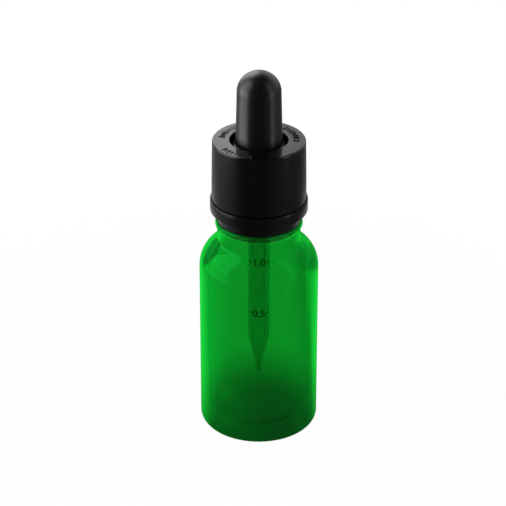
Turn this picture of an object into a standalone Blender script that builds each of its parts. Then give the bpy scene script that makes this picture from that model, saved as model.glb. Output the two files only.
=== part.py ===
"""Dropper bottle with a push-and-turn closure, a tamper-evident band and a graduated pipette.

Metres, +Z up. The origin is the centre of the base, and every round piece stands on the Z axis.
"""

import math

import bmesh
import bpy

# Clearances that the pieces share
SEAT_GAP = 0.0003
STOP_CLEARANCE = 0.0001

# Bottle body
BODY_RADIUS = 0.0145
STRAIGHT_SIDE = 0.0430
SHOULDER_ARC = 0.00807
HEEL_RADIUS = 0.0020
GLASS_WALL = 0.0022
BASE_THICKNESS = 0.0026
INNER_HEEL_RADIUS = 0.0030
BEARING_WIDTH = 0.0030
PUNT_HEIGHT = 0.0010

# Bottle neck
WAIST_RADIUS = 0.0101
WAIST_FILLET = 0.0010
WAIST_LENGTH = 0.0040
TRANSFER_BEAD_PROUD = 0.0005
TRANSFER_BEAD_FULL_ROUND = 0.0011
GROOVE_RADIUS = 0.0084
TAMPER_BEAD_RADIUS = 0.00925
TAMPER_BEAD_ROUND = 0.0008
TAMPER_BEAD_RISE = 0.00525
THREAD_CORE_RADIUS = 0.00785
THREAD_HEIGHT = 0.0010
NECK_HEIGHT = 0.0164
NECK_BORE_RADIUS = 0.0056
BORE_LENGTH = 0.0112
RIM_ROUND = 0.0007

# Tamper-evident band
SKIRT_PLAY = 0.0008
SKIRT_WALL = 0.0010
LIP_HOLD = 0.0005
LIP_THICKNESS = 0.0007
TOP_LIP_THICKNESS = 0.00045
BAND_PROUD = 0.00036
BAND_CHAMFER = 0.0003
BAND_TOP_CHAMFER = 0.00015
BRIDGE_COUNT = 8
BRIDGE_THICKNESS = 0.00023
BRIDGE_WIDTH = 0.0008

# Inner cap
THREAD_CLEARANCE = 0.00025
INNER_CAP_WALL = 0.00075
INNER_PLATE = 0.0009
INNER_EDGE_FILLET = 0.0004
LEAD_IN = 0.0003

# Push-and-turn drive
PUSH_TRAVEL = 0.0005
RATCHET_HOLD = 0.00025
LUG_CLEARANCE = 0.00015
LUG_COUNT = 6
LUG_LENGTH = 0.0012
INNER_LUG_SPAN = math.radians(22)
INNER_LUG_RAMP = math.radians(12)
OUTER_LUG_SPAN = math.radians(16)
FINGER_COUNT = 6
FINGER_WIDTH = 0.0007
FINGER_THICKNESS = 0.0004
FINGER_SPAN = math.radians(42)
FINGER_MARGIN = 0.0003
ROOT_DEPTH = 0.0002

# Outer cap
SHELL_GAP = 0.00032
OUTER_CAP_WALL = 0.0010
OUTER_PLATE = 0.0011
CAP_DRAFT = math.radians(1.0)
CAP_EDGE_FILLET = 0.00043
HOLE_MARGIN = 0.00078
HOLE_FILLET = 0.0002
SNAP_HEIGHT = 0.00055
SNAP_HOLD = 0.00035
SNAP_NOSE = 0.0002
RIM_FILLET = 0.00015

# Rubber bulb
BULB_HEIGHT = 0.01745
BULB_BASE_RADIUS = 0.0056
BULB_TIP_RADIUS = 0.00528
BULB_DOME = 0.00512
BULB_WALL = 0.0011
COLLAR_RADIUS = 0.00625
COLLAR_DROP = 0.0012
COLLAR_FILLET = 0.0005
FLANGE_THICKNESS = 0.0012
FLANGE_CLEARANCE = 0.0004
CAVITY_DROP = 0.0012

# Pipette
PIPETTE_RADIUS = 0.00265
PIPETTE_WALL = 0.0008
PIPETTE_BEAD = 0.00055
PIPETTE_BEAD_DROP = 0.0015
TIP_TO_FLOOR = 0.0088
TIP_LENGTH = 0.0028
TIP_RADIUS = 0.0008
TIP_TOP_RADIUS = 0.0010
TIP_BORE_RADIUS = 0.0004
CONE_LENGTH = 0.0086

# Facets round each piece and along its curves
BOTTLE_SEGMENTS = 48
CLOSURE_SEGMENTS = 48
BULB_SEGMENTS = 40
PIPETTE_SEGMENTS = 20
SHOULDER_STEPS = 8
BULB_DOME_STEPS = 8
BEAD_STEPS = 5
CURVE_STEPS = 4
FILLET_STEPS = 3
EDGE_STEPS = 2
BRIDGE_STEPS = 1
FINGER_STEPS = 6
LUG_STEPS = 2
SHARP_ANGLE = math.radians(35)
SAME_POINT = 1e-7
HALF_TURN = math.pi
FULL_TURN = 2 * math.pi
QUARTER_TURN = math.pi / 2

# Colours: red, green, blue; roughness
GREEN_GLASS = (0.010, 0.300, 0.030)
BLACK_PLASTIC = (0.012, 0.012, 0.013)
BLACK_RUBBER = (0.016, 0.016, 0.017)
CLEAR_PLASTIC = (0.800, 0.840, 0.810)
GLASS_ROUGHNESS = 0.03
PLASTIC_ROUGHNESS = 0.32
RUBBER_ROUGHNESS = 0.45
PIPETTE_ROUGHNESS = 0.15


def chord(radius, offset):
    """Half the chord of a circle at this offset from its centre."""
    return math.sqrt(radius * radius - offset * offset)


# Heights and radii that follow from the sizes above
SHOULDER_CENTRE_R = BODY_RADIUS - SHOULDER_ARC
FILLET_CENTRE_R = WAIST_RADIUS + WAIST_FILLET
FILLET_CENTRE_Z = STRAIGHT_SIDE + chord(
    SHOULDER_ARC + WAIST_FILLET, FILLET_CENTRE_R - SHOULDER_CENTRE_R
)
FILLET_ANGLE = math.atan2(FILLET_CENTRE_Z - STRAIGHT_SIDE, FILLET_CENTRE_R - SHOULDER_CENTRE_R)
TRANSFER_BEAD_Z = FILLET_CENTRE_Z + WAIST_LENGTH
TRANSFER_BEAD_RADIUS = WAIST_RADIUS + TRANSFER_BEAD_PROUD
TRANSFER_BEAD_ROUND = min(TRANSFER_BEAD_FULL_ROUND, TRANSFER_BEAD_RADIUS - GROOVE_RADIUS)
TAMPER_BEAD_Z = TRANSFER_BEAD_Z + TAMPER_BEAD_RISE
MOUTH_Z = TRANSFER_BEAD_Z + NECK_HEIGHT
TRANSFER_CENTRE_R = TRANSFER_BEAD_RADIUS - TRANSFER_BEAD_ROUND
TAMPER_CENTRE_R = TAMPER_BEAD_RADIUS - TAMPER_BEAD_ROUND
FLOOR_CENTRE_Z = BASE_THICKNESS + PUNT_HEIGHT

BORE_RADIUS = THREAD_CORE_RADIUS + THREAD_HEIGHT + THREAD_CLEARANCE
INNER_CAP_RADIUS = BORE_RADIUS + INNER_CAP_WALL
FLANGE_Z = MOUTH_Z + SEAT_GAP
PLATE_UNDERSIDE_Z = FLANGE_Z + FLANGE_THICKNESS + SEAT_GAP
PLATE_TOP_Z = PLATE_UNDERSIDE_Z + INNER_PLATE
LUG_HEIGHT = PUSH_TRAVEL + RATCHET_HOLD + LUG_CLEARANCE
DRIVE_SPACE = LUG_HEIGHT + PUSH_TRAVEL + LUG_CLEARANCE
CAP_UNDERSIDE_Z = PLATE_TOP_Z + DRIVE_SPACE
CAP_TOP_Z = CAP_UNDERSIDE_Z + OUTER_PLATE
CAP_INNER_TOP_RADIUS = INNER_CAP_RADIUS + SHELL_GAP
CAP_TOP_RADIUS = CAP_INNER_TOP_RADIUS + OUTER_CAP_WALL

SKIRT_INNER_RADIUS = GROOVE_RADIUS + SKIRT_PLAY
SKIRT_RADIUS = SKIRT_INNER_RADIUS + SKIRT_WALL
LIP_RADIUS = TAMPER_BEAD_RADIUS - LIP_HOLD
TOP_LIP_RADIUS = BORE_RADIUS
BAND_GROOVE_RADIUS = TAMPER_BEAD_RADIUS + SEAT_GAP
BAND_BOTTOM_Z = TRANSFER_BEAD_Z + TRANSFER_BEAD_ROUND + SEAT_GAP
LIP_TOP_Z = TAMPER_BEAD_Z - chord(TAMPER_BEAD_ROUND, LIP_RADIUS - TAMPER_CENTRE_R) - SEAT_GAP
BAND_STEP_Z = LIP_TOP_Z - LIP_THICKNESS
TOP_LIP_Z = TAMPER_BEAD_Z + chord(TAMPER_BEAD_ROUND, TOP_LIP_RADIUS - TAMPER_CENTRE_R) + SEAT_GAP
BAND_TOP_Z = TOP_LIP_Z + TOP_LIP_THICKNESS
CAP_BOTTOM_Z = BAND_TOP_Z + PUSH_TRAVEL + STOP_CLEARANCE
CAP_BOTTOM_RADIUS = CAP_TOP_RADIUS + (CAP_TOP_Z - CAP_BOTTOM_Z) * math.tan(CAP_DRAFT)
BAND_RADIUS = CAP_BOTTOM_RADIUS + BAND_PROUD
SNAP_TOP_Z = CAP_BOTTOM_Z + STOP_CLEARANCE + SNAP_HEIGHT
INNER_CAP_BOTTOM_Z = SNAP_TOP_Z + SEAT_GAP
SNAP_RADIUS = INNER_CAP_RADIUS - SNAP_HOLD

INNER_HOLE_RADIUS = COLLAR_RADIUS + SEAT_GAP
CAP_HOLE_RADIUS = COLLAR_RADIUS + HOLE_MARGIN
COLLAR_TOP_Z = CAP_TOP_Z - COLLAR_DROP
BULB_APEX_Z = CAP_TOP_Z + BULB_HEIGHT
BULB_DOME_Z = BULB_APEX_Z - BULB_DOME
FLANGE_RADIUS = BORE_RADIUS - FLANGE_CLEARANCE
CAVITY_FLOOR_Z = CAP_TOP_Z - CAVITY_DROP
PIPETTE_TOP_Z = CAVITY_FLOOR_Z - STOP_CLEARANCE
PIPETTE_BEAD_Z = PIPETTE_TOP_Z - PIPETTE_BEAD_DROP
TIP_Z = FLOOR_CENTRE_Z + TIP_TO_FLOOR


def material(name, colour, roughness, transmission=0.0):
    """A Principled material in the piece's own colour."""
    made = bpy.data.materials.new(name)
    made.use_nodes = True
    shader = made.node_tree.nodes["Principled BSDF"]
    shader.inputs["Base Color"].default_value = (*colour, 1.0)
    shader.inputs["Roughness"].default_value = roughness
    shader.inputs["Metallic"].default_value = 0.0
    shader.inputs["Transmission Weight"].default_value = transmission
    return made


def arc(centre_r, centre_z, radius, start, end, steps):
    """Points (r, z) along a circular arc, both ends included."""
    angles = [start + (end - start) * i / steps for i in range(steps + 1)]
    return [(centre_r + radius * math.cos(a), centre_z + radius * math.sin(a)) for a in angles]


def ellipse(height, r_size, z_size, start, end, steps):
    """Points (r, z) along a quarter ellipse that is centred on the axis."""
    angles = [start + (end - start) * i / steps for i in range(steps + 1)]
    return [(r_size * math.cos(a), height + z_size * math.sin(a)) for a in angles]


def shallow_dome(edge_radius, edge_z, rise, steps):
    """Points (r, z) from the axis out to the edge of a low spherical dome."""
    sphere = (edge_radius * edge_radius + rise * rise) / (2 * rise)
    half = math.asin(edge_radius / sphere)
    return arc(0.0, edge_z + rise - sphere, sphere, QUARTER_TURN, QUARTER_TURN - half, steps)


def smooth_step(r_start, z_start, r_end, z_end, steps):
    """Points (r, z) on an S-curve that leaves and arrives upright."""
    shares = [i / steps for i in range(steps + 1)]
    return [
        (r_start + (r_end - r_start) * t * t * (3 - 2 * t), z_start + (z_end - z_start) * t)
        for t in shares
    ]


def tidy(outline):
    """The outline without points that repeat the one before."""
    kept = [outline[0]]
    for point in outline[1:]:
        if math.dist(point, kept[-1]) > SAME_POINT:
            kept.append(point)
    return kept


def link(name, bm, finish):
    """Turns a bmesh into a named, smooth-shaded object in the scene."""
    mesh = bpy.data.meshes.new(name)
    bmesh.ops.recalc_face_normals(bm, faces=bm.faces)
    bm.to_mesh(mesh)
    bm.free()
    mesh.shade_smooth()
    mesh.set_sharp_from_angle(angle=SHARP_ANGLE)
    mesh.materials.append(finish)
    made = bpy.data.objects.new(name, mesh)
    bpy.context.scene.collection.objects.link(made)
    return made


def turned(name, outline, segments, finish, ring):
    """A turned piece: its outline in (r, z) is spun once round the Z axis.
    A ring's outline is a closed loop; otherwise both of its ends lie on the axis."""
    bm = bmesh.new()
    points = tidy(outline)
    verts = [bm.verts.new((r, 0.0, z)) for r, z in points]
    edges = [bm.edges.new(pair) for pair in zip(verts, verts[1:])]
    if ring:
        edges.append(bm.edges.new((verts[-1], verts[0])))
    bmesh.ops.spin(
        bm,
        geom=verts + edges,
        cent=(0, 0, 0),
        axis=(0, 0, 1),
        angle=FULL_TURN,
        steps=segments,
        use_merge=True,
    )
    bmesh.ops.remove_doubles(bm, verts=bm.verts, dist=SAME_POINT)
    return link(name, bm, finish)


def add_sector(bm, r_in, r_out, z_low, z_high, start, span, steps, rise=0.0):
    """Adds a block that is swept round the Z axis from start through span, and climbs by rise."""
    corners = [(r_in, z_low), (r_out, z_low), (r_out, z_high), (r_in, z_high)]
    turn = (math.cos(start), math.sin(start))
    verts = [bm.verts.new((r * turn[0], r * turn[1], z)) for r, z in corners]
    face = bm.faces.new(verts)
    bmesh.ops.spin(
        bm,
        geom=[face],
        cent=(0, 0, 0),
        axis=(0, 0, 1),
        dvec=(0, 0, rise / steps),
        angle=span,
        steps=steps,
    )


def fuse(target, bm, name):
    """Joins the blocks in the bmesh to the target with a Boolean union."""
    tool = link(name, bm, target.data.materials[0])
    tool.hide_render = True
    tool.display_type = "WIRE"
    union = target.modifiers.new(name, "BOOLEAN")
    union.operation = "UNION"
    union.solver = "EXACT"
    union.object = tool
    return tool


def make_bottle(finish):
    """The glass: outside from the base to the mouth, then the inside back down to the floor."""
    inner_radius = BODY_RADIUS - GLASS_WALL
    heel_r = BODY_RADIUS - HEEL_RADIUS
    punt_radius = heel_r - BEARING_WIDTH
    bead_start = -math.acos((WAIST_RADIUS - TRANSFER_CENTRE_R) / TRANSFER_BEAD_ROUND)
    tamper_start = -math.acos((GROOVE_RADIUS - TAMPER_CENTRE_R) / TAMPER_BEAD_ROUND)
    rim_outer = THREAD_CORE_RADIUS - RIM_ROUND
    rim_inner = NECK_BORE_RADIUS + RIM_ROUND
    inner_heel_r = inner_radius - INNER_HEEL_RADIUS

    outline = shallow_dome(punt_radius, 0.0, PUNT_HEIGHT, CURVE_STEPS)
    outline += arc(heel_r, HEEL_RADIUS, HEEL_RADIUS, -QUARTER_TURN, 0.0, BEAD_STEPS)
    outline += arc(
        SHOULDER_CENTRE_R, STRAIGHT_SIDE, SHOULDER_ARC, 0.0, FILLET_ANGLE, SHOULDER_STEPS
    )
    outline += arc(
        FILLET_CENTRE_R,
        FILLET_CENTRE_Z,
        WAIST_FILLET,
        FILLET_ANGLE + HALF_TURN,
        HALF_TURN,
        FILLET_STEPS,
    )
    outline += arc(
        TRANSFER_CENTRE_R,
        TRANSFER_BEAD_Z,
        TRANSFER_BEAD_ROUND,
        bead_start,
        QUARTER_TURN,
        BEAD_STEPS,
    )
    outline.append((GROOVE_RADIUS, TRANSFER_BEAD_Z + TRANSFER_BEAD_ROUND))
    outline += arc(
        TAMPER_CENTRE_R,
        TAMPER_BEAD_Z,
        TAMPER_BEAD_ROUND,
        tamper_start,
        QUARTER_TURN,
        BEAD_STEPS,
    )
    outline.append((THREAD_CORE_RADIUS, TAMPER_BEAD_Z + TAMPER_BEAD_ROUND))
    rim_z = MOUTH_Z - RIM_ROUND
    outline += arc(rim_outer, rim_z, RIM_ROUND, 0.0, QUARTER_TURN, FILLET_STEPS)
    outline += arc(rim_inner, rim_z, RIM_ROUND, QUARTER_TURN, HALF_TURN, FILLET_STEPS)
    outline += smooth_step(
        NECK_BORE_RADIUS,
        MOUTH_Z - BORE_LENGTH,
        WAIST_RADIUS - GLASS_WALL,
        TRANSFER_BEAD_Z,
        CURVE_STEPS,
    )
    outline += arc(
        FILLET_CENTRE_R,
        FILLET_CENTRE_Z,
        WAIST_FILLET + GLASS_WALL,
        HALF_TURN,
        HALF_TURN + FILLET_ANGLE,
        CURVE_STEPS,
    )
    outline += arc(
        SHOULDER_CENTRE_R,
        STRAIGHT_SIDE,
        SHOULDER_ARC - GLASS_WALL,
        FILLET_ANGLE,
        0.0,
        SHOULDER_STEPS,
    )
    outline += arc(
        inner_heel_r,
        BASE_THICKNESS + INNER_HEEL_RADIUS,
        INNER_HEEL_RADIUS,
        0.0,
        -QUARTER_TURN,
        CURVE_STEPS,
    )
    outline += reversed(shallow_dome(inner_heel_r, BASE_THICKNESS, PUNT_HEIGHT, FILLET_STEPS))
    return turned("bottle", outline, BOTTLE_SEGMENTS, finish, ring=False)


def make_tamper_band(finish):
    """The band: a narrow skirt, a wide ring, and a groove inside that holds it on the tamper bead."""
    outline = [
        (SKIRT_INNER_RADIUS, BAND_BOTTOM_Z),
        (SKIRT_RADIUS, BAND_BOTTOM_Z),
        (SKIRT_RADIUS, BAND_STEP_Z),
        (BAND_RADIUS - BAND_CHAMFER, BAND_STEP_Z),
        (BAND_RADIUS, BAND_STEP_Z + BAND_CHAMFER),
        (BAND_RADIUS, BAND_TOP_Z - BAND_TOP_CHAMFER),
        (BAND_RADIUS - BAND_TOP_CHAMFER, BAND_TOP_Z),
        (TOP_LIP_RADIUS, BAND_TOP_Z),
        (TOP_LIP_RADIUS, TOP_LIP_Z),
        (BAND_GROOVE_RADIUS, TOP_LIP_Z),
        (BAND_GROOVE_RADIUS, LIP_TOP_Z),
        (LIP_RADIUS, LIP_TOP_Z),
        (LIP_RADIUS, BAND_STEP_Z),
    ]
    band = turned("tamper_band", outline, CLOSURE_SEGMENTS, finish, ring=True)

    bridges = bmesh.new()
    inner = TOP_LIP_RADIUS + STOP_CLEARANCE / 2
    span = BRIDGE_WIDTH / inner
    for i in range(BRIDGE_COUNT):
        middle = FULL_TURN * i / BRIDGE_COUNT
        add_sector(
            bridges,
            inner,
            inner + BRIDGE_THICKNESS,
            BAND_TOP_Z - ROOT_DEPTH,
            INNER_CAP_BOTTOM_Z - SEAT_GAP,
            middle - span / 2,
            span,
            BRIDGE_STEPS,
        )
    fuse(band, bridges, "bridge_stubs")
    return band


def add_ramped_lug(bm, middle):
    """Adds one ratchet lug on the inner cap: upright on its closing side; on its opening side
    upright below, where the pushed outer cap drives it, and sloped above, where it slips."""
    start = middle - INNER_LUG_SPAN / 2
    r_out = INNER_CAP_RADIUS - INNER_EDGE_FILLET
    r_in = r_out - LUG_LENGTH
    low = PLATE_TOP_Z - ROOT_DEPTH
    high = PLATE_TOP_Z + LUG_HEIGHT
    side = [
        (start, low),
        (start + INNER_LUG_SPAN, low),
        (start + INNER_LUG_SPAN, high),
        (start + INNER_LUG_RAMP, high),
        (start, high - RATCHET_HOLD - LUG_CLEARANCE),
    ]
    inner_ring = [bm.verts.new((r_in * math.cos(a), r_in * math.sin(a), z)) for a, z in side]
    outer_ring = [bm.verts.new((r_out * math.cos(a), r_out * math.sin(a), z)) for a, z in side]
    inner_face = bm.faces.new(inner_ring)
    outer_face = bm.faces.new(reversed(outer_ring))
    bmesh.ops.bridge_loops(bm, edges=list(inner_face.edges) + list(outer_face.edges))


def make_inner_cap(finish):
    """The threaded cap: a plain bore for the thread, a plate over the bulb's flange,
    and the ratchet lugs and spring fingers that stand on the plate."""
    outline = [
        (BORE_RADIUS + LEAD_IN, INNER_CAP_BOTTOM_Z),
        (INNER_CAP_RADIUS, INNER_CAP_BOTTOM_Z),
    ]
    outline += arc(
        INNER_CAP_RADIUS - INNER_EDGE_FILLET,
        PLATE_TOP_Z - INNER_EDGE_FILLET,
        INNER_EDGE_FILLET,
        0.0,
        QUARTER_TURN,
        EDGE_STEPS,
    )
    outline += [
        (INNER_HOLE_RADIUS, PLATE_TOP_Z),
        (INNER_HOLE_RADIUS, PLATE_UNDERSIDE_Z),
        (BORE_RADIUS, PLATE_UNDERSIDE_Z),
        (BORE_RADIUS, INNER_CAP_BOTTOM_Z + LEAD_IN),
    ]
    cap = turned("inner_cap", outline, CLOSURE_SEGMENTS, finish, ring=True)

    drive = bmesh.new()
    for i in range(LUG_COUNT):
        add_ramped_lug(drive, FULL_TURN * (i + 0.5) / LUG_COUNT)
    finger_inner = CAP_HOLE_RADIUS + FINGER_MARGIN
    finger_low = PLATE_TOP_Z - ROOT_DEPTH
    finger_rise = DRIVE_SPACE - PUSH_TRAVEL - STOP_CLEARANCE + ROOT_DEPTH - FINGER_THICKNESS
    for i in range(FINGER_COUNT):
        add_sector(
            drive,
            finger_inner,
            finger_inner + FINGER_WIDTH,
            finger_low,
            finger_low + FINGER_THICKNESS,
            FULL_TURN * i / FINGER_COUNT,
            FINGER_SPAN,
            FINGER_STEPS,
            rise=finger_rise,
        )
    fuse(cap, drive, "ratchet_and_fingers")
    return cap


def make_outer_cap(finish):
    """The outer shell: drafted side, holed top, drive lugs under the top and a snap bead below."""
    slope = math.tan(CAP_DRAFT)

    def inner_wall(z):
        return CAP_INNER_TOP_RADIUS + (CAP_TOP_Z - z) * slope

    outline = [
        (CAP_BOTTOM_RADIUS - RIM_FILLET, CAP_BOTTOM_Z),
        (CAP_BOTTOM_RADIUS, CAP_BOTTOM_Z + RIM_FILLET),
    ]
    outline += arc(
        CAP_TOP_RADIUS - CAP_EDGE_FILLET,
        CAP_TOP_Z - CAP_EDGE_FILLET,
        CAP_EDGE_FILLET,
        CAP_DRAFT,
        QUARTER_TURN,
        CURVE_STEPS,
    )
    outline += arc(
        CAP_HOLE_RADIUS + HOLE_FILLET,
        CAP_TOP_Z - HOLE_FILLET,
        HOLE_FILLET,
        QUARTER_TURN,
        HALF_TURN,
        EDGE_STEPS,
    )
    outline += [
        (CAP_HOLE_RADIUS, CAP_UNDERSIDE_Z),
        (inner_wall(CAP_UNDERSIDE_Z), CAP_UNDERSIDE_Z),
        (inner_wall(SNAP_TOP_Z), SNAP_TOP_Z),
        (SNAP_RADIUS, SNAP_TOP_Z),
        (SNAP_RADIUS, SNAP_TOP_Z - SNAP_NOSE),
        (SNAP_RADIUS + SNAP_HEIGHT, CAP_BOTTOM_Z),
    ]
    cap = turned("outer_cap", outline, CLOSURE_SEGMENTS, finish, ring=True)

    lugs = bmesh.new()
    lug_inner = INNER_CAP_RADIUS - INNER_EDGE_FILLET - LUG_LENGTH
    lug_outer = CAP_INNER_TOP_RADIUS + ROOT_DEPTH
    for i in range(LUG_COUNT):
        add_sector(
            lugs,
            lug_inner,
            lug_outer,
            CAP_UNDERSIDE_Z - LUG_HEIGHT,
            CAP_UNDERSIDE_Z + ROOT_DEPTH,
            FULL_TURN * i / LUG_COUNT - OUTER_LUG_SPAN / 2,
            OUTER_LUG_SPAN,
            LUG_STEPS,
        )
    fuse(cap, lugs, "drive_lugs")
    return cap


def make_bulb(finish):
    """The rubber bulb: flange, collar, tapered body and dome, with its air space and its bore."""
    bore = PIPETTE_RADIUS + SEAT_GAP
    groove = PIPETTE_RADIUS + PIPETTE_BEAD + SEAT_GAP
    groove_half = PIPETTE_BEAD + SEAT_GAP
    body_start_z = COLLAR_TOP_Z + COLLAR_DROP
    cavity_base = BULB_BASE_RADIUS - BULB_WALL
    cavity_tip = BULB_TIP_RADIUS - BULB_WALL
    cavity_dome = BULB_DOME - BULB_WALL

    outline = ellipse(
        BULB_DOME_Z, BULB_TIP_RADIUS, BULB_DOME, QUARTER_TURN, 0.0, BULB_DOME_STEPS
    )
    outline.append((BULB_BASE_RADIUS, body_start_z))
    outline += smooth_step(
        BULB_BASE_RADIUS,
        body_start_z,
        COLLAR_RADIUS,
        COLLAR_TOP_Z - COLLAR_FILLET,
        CURVE_STEPS,
    )
    outline += [
        (COLLAR_RADIUS, FLANGE_Z + FLANGE_THICKNESS),
        (FLANGE_RADIUS, FLANGE_Z + FLANGE_THICKNESS),
        (FLANGE_RADIUS, FLANGE_Z),
        (bore, FLANGE_Z),
        (bore, PIPETTE_BEAD_Z - groove_half),
        (groove, PIPETTE_BEAD_Z - groove_half / 2),
        (groove, PIPETTE_BEAD_Z + groove_half / 2),
        (bore, PIPETTE_BEAD_Z + groove_half),
        (bore, CAVITY_FLOOR_Z),
        (cavity_base, CAVITY_FLOOR_Z + BULB_WALL),
    ]
    outline += ellipse(BULB_DOME_Z, cavity_tip, cavity_dome, 0.0, QUARTER_TURN, BEAD_STEPS)
    return turned("bulb", outline, BULB_SEGMENTS, finish, ring=False)


def make_pipette(finish):
    """The pipette: a tube with a bead at its head, a cone and a fine open tip."""
    bore = PIPETTE_RADIUS - PIPETTE_WALL
    cone_start_z = TIP_Z + TIP_LENGTH + CONE_LENGTH
    tip_top_z = TIP_Z + TIP_LENGTH
    outline = [
        (TIP_BORE_RADIUS, TIP_Z),
        (TIP_RADIUS, TIP_Z),
        (TIP_TOP_RADIUS, tip_top_z),
        (PIPETTE_RADIUS, cone_start_z),
    ]
    outline += arc(
        PIPETTE_RADIUS, PIPETTE_BEAD_Z, PIPETTE_BEAD, -QUARTER_TURN, QUARTER_TURN, CURVE_STEPS
    )
    outline += [
        (PIPETTE_RADIUS, PIPETTE_TOP_Z),
        (bore, PIPETTE_TOP_Z),
        (bore, cone_start_z),
        (TIP_BORE_RADIUS, tip_top_z),
    ]
    return turned("pipette", outline, PIPETTE_SEGMENTS, finish, ring=True)


def main():
    for leftover in list(bpy.data.objects):
        bpy.data.objects.remove(leftover)
    glass = material("green_glass", GREEN_GLASS, GLASS_ROUGHNESS, transmission=1.0)
    band = material("band_plastic", BLACK_PLASTIC, PLASTIC_ROUGHNESS)
    inner = material("inner_cap_plastic", BLACK_PLASTIC, PLASTIC_ROUGHNESS)
    outer = material("outer_cap_plastic", BLACK_PLASTIC, PLASTIC_ROUGHNESS)
    rubber = material("bulb_rubber", BLACK_RUBBER, RUBBER_ROUGHNESS)
    clear = material("pipette_plastic", CLEAR_PLASTIC, PIPETTE_ROUGHNESS, transmission=0.8)
    make_bottle(glass)
    make_tamper_band(band)
    make_inner_cap(inner)
    make_outer_cap(outer)
    make_bulb(rubber)
    make_pipette(clear)


main()
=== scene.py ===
"""Finish of the dropper bottle: glass, closure, bulb, pipette and their marks, on a pale stage.

Metres, +Z up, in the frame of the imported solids. Laid out as an add-on and run as a script.
"""

import math

import bmesh
import bpy
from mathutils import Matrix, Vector


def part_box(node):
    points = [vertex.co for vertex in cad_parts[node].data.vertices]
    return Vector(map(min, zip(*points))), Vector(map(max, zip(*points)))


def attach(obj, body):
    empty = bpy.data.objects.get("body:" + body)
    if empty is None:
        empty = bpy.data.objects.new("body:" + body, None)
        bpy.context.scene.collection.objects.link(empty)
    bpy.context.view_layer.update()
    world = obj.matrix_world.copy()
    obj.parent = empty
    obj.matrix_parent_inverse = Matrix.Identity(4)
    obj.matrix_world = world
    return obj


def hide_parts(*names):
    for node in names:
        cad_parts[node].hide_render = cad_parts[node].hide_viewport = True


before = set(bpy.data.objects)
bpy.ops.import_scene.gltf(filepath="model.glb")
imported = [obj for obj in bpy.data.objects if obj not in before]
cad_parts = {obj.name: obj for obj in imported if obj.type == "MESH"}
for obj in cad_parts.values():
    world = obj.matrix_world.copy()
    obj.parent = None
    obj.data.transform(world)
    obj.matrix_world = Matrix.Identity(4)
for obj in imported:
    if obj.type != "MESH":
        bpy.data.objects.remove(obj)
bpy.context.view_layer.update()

bl_info = {
    "name": "Dropper bottle",
    "version": (1, 0, 0),
    "blender": (4, 5, 0),
    "location": "View3D > Sidebar > Dropper bottle",
    "description": "Makes the visible surfaces of a glass dropper bottle",
    "category": "Add Mesh",
}

# Places and outer sizes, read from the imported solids
BOTTLE_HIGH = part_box("bottle")[1]
BAND_LOW, BAND_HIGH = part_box("tamper_band")
INNER_LOW, INNER_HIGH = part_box("inner_cap")
OUTER_LOW, OUTER_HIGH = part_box("outer_cap")
BULB_LOW, BULB_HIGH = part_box("bulb")
PIPETTE_LOW, PIPETTE_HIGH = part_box("pipette")
BODY_RADIUS = BOTTLE_HIGH.x
MOUTH_Z = BOTTLE_HIGH.z
CAP_TOP_Z = OUTER_HIGH.z
TIP_Z = PIPETTE_LOW.z

# Bottle body and neck
STRAIGHT_SIDE = 0.0430
SHOULDER_ARC = 0.00807
SHOULDER_CENTRE_R = BODY_RADIUS - SHOULDER_ARC
HEEL_RADIUS = 0.0020
GLASS_WALL = 0.0022
BASE_THICKNESS = 0.0026
INNER_HEEL_RADIUS = 0.0030
BEARING_WIDTH = 0.0030
PUNT_HEIGHT = 0.0010
WAIST_RADIUS = 0.0101
WAIST_FILLET = 0.0010
TRANSFER_BEAD_RADIUS = 0.0106
TRANSFER_BEAD_ROUND = 0.0011
BEAD_TOP_ANGLE = math.radians(40)
NECK_HEIGHT = 0.0164
GROOVE_RADIUS = 0.0084
TAMPER_BEAD_RADIUS = 0.00925
TAMPER_BEAD_ROUND = 0.0008
TAMPER_BEAD_RISE = 0.00525
THREAD_CORE_RADIUS = 0.00785
NECK_BORE_RADIUS = 0.0056
BORE_LENGTH = 0.0112
RIM_ROUND = 0.0007
CORNER_EASE = 0.0003
THREAD_RISE = 0.0027
THREAD_CREST = 0.00032
THREAD_FOOT = 0.00095
THREAD_FADE = 0.09
NOTCH_EDGE = 1.6
TRANSFER_BEAD_Z = MOUTH_Z - NECK_HEIGHT
TAMPER_BEAD_Z = TRANSFER_BEAD_Z + TAMPER_BEAD_RISE
THREAD_START_Z = TAMPER_BEAD_Z + THREAD_RISE

# Inner cap
BORE_RADIUS = 0.0091
THREAD_PLAY = 0.00006
INNER_HOLE_RADIUS = 0.00655
INNER_PLATE = 0.0009
INNER_CORNER = 0.0003
SEAT_GAP = 0.0003
BORE_LEAD = SEAT_GAP * 1.5
FLANGE_THICKNESS = 0.0012
PLATE_UNDERSIDE_Z = BULB_LOW.z + FLANGE_THICKNESS + SEAT_GAP
PLATE_TOP_Z = PLATE_UNDERSIDE_Z + INNER_PLATE
LUG_COUNT = 6
LUG_HEIGHT = 0.0009
LUG_LENGTH = 0.0012
LUG_MARGIN = 0.0004
LUG_OUTER = INNER_HIGH.x - LUG_MARGIN
INNER_LUG_SPAN = math.radians(22)
INNER_LUG_RAMP = math.radians(12)
RATCHET_STEP = 0.0004
FINGER_RADII = (0.00733, 0.00803)
FINGER_THICKNESS = 0.0004
FINGER_SPAN = math.radians(42)
ROOT = 0.0002
SHALLOW_ROOT = ROOT / 4

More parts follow.
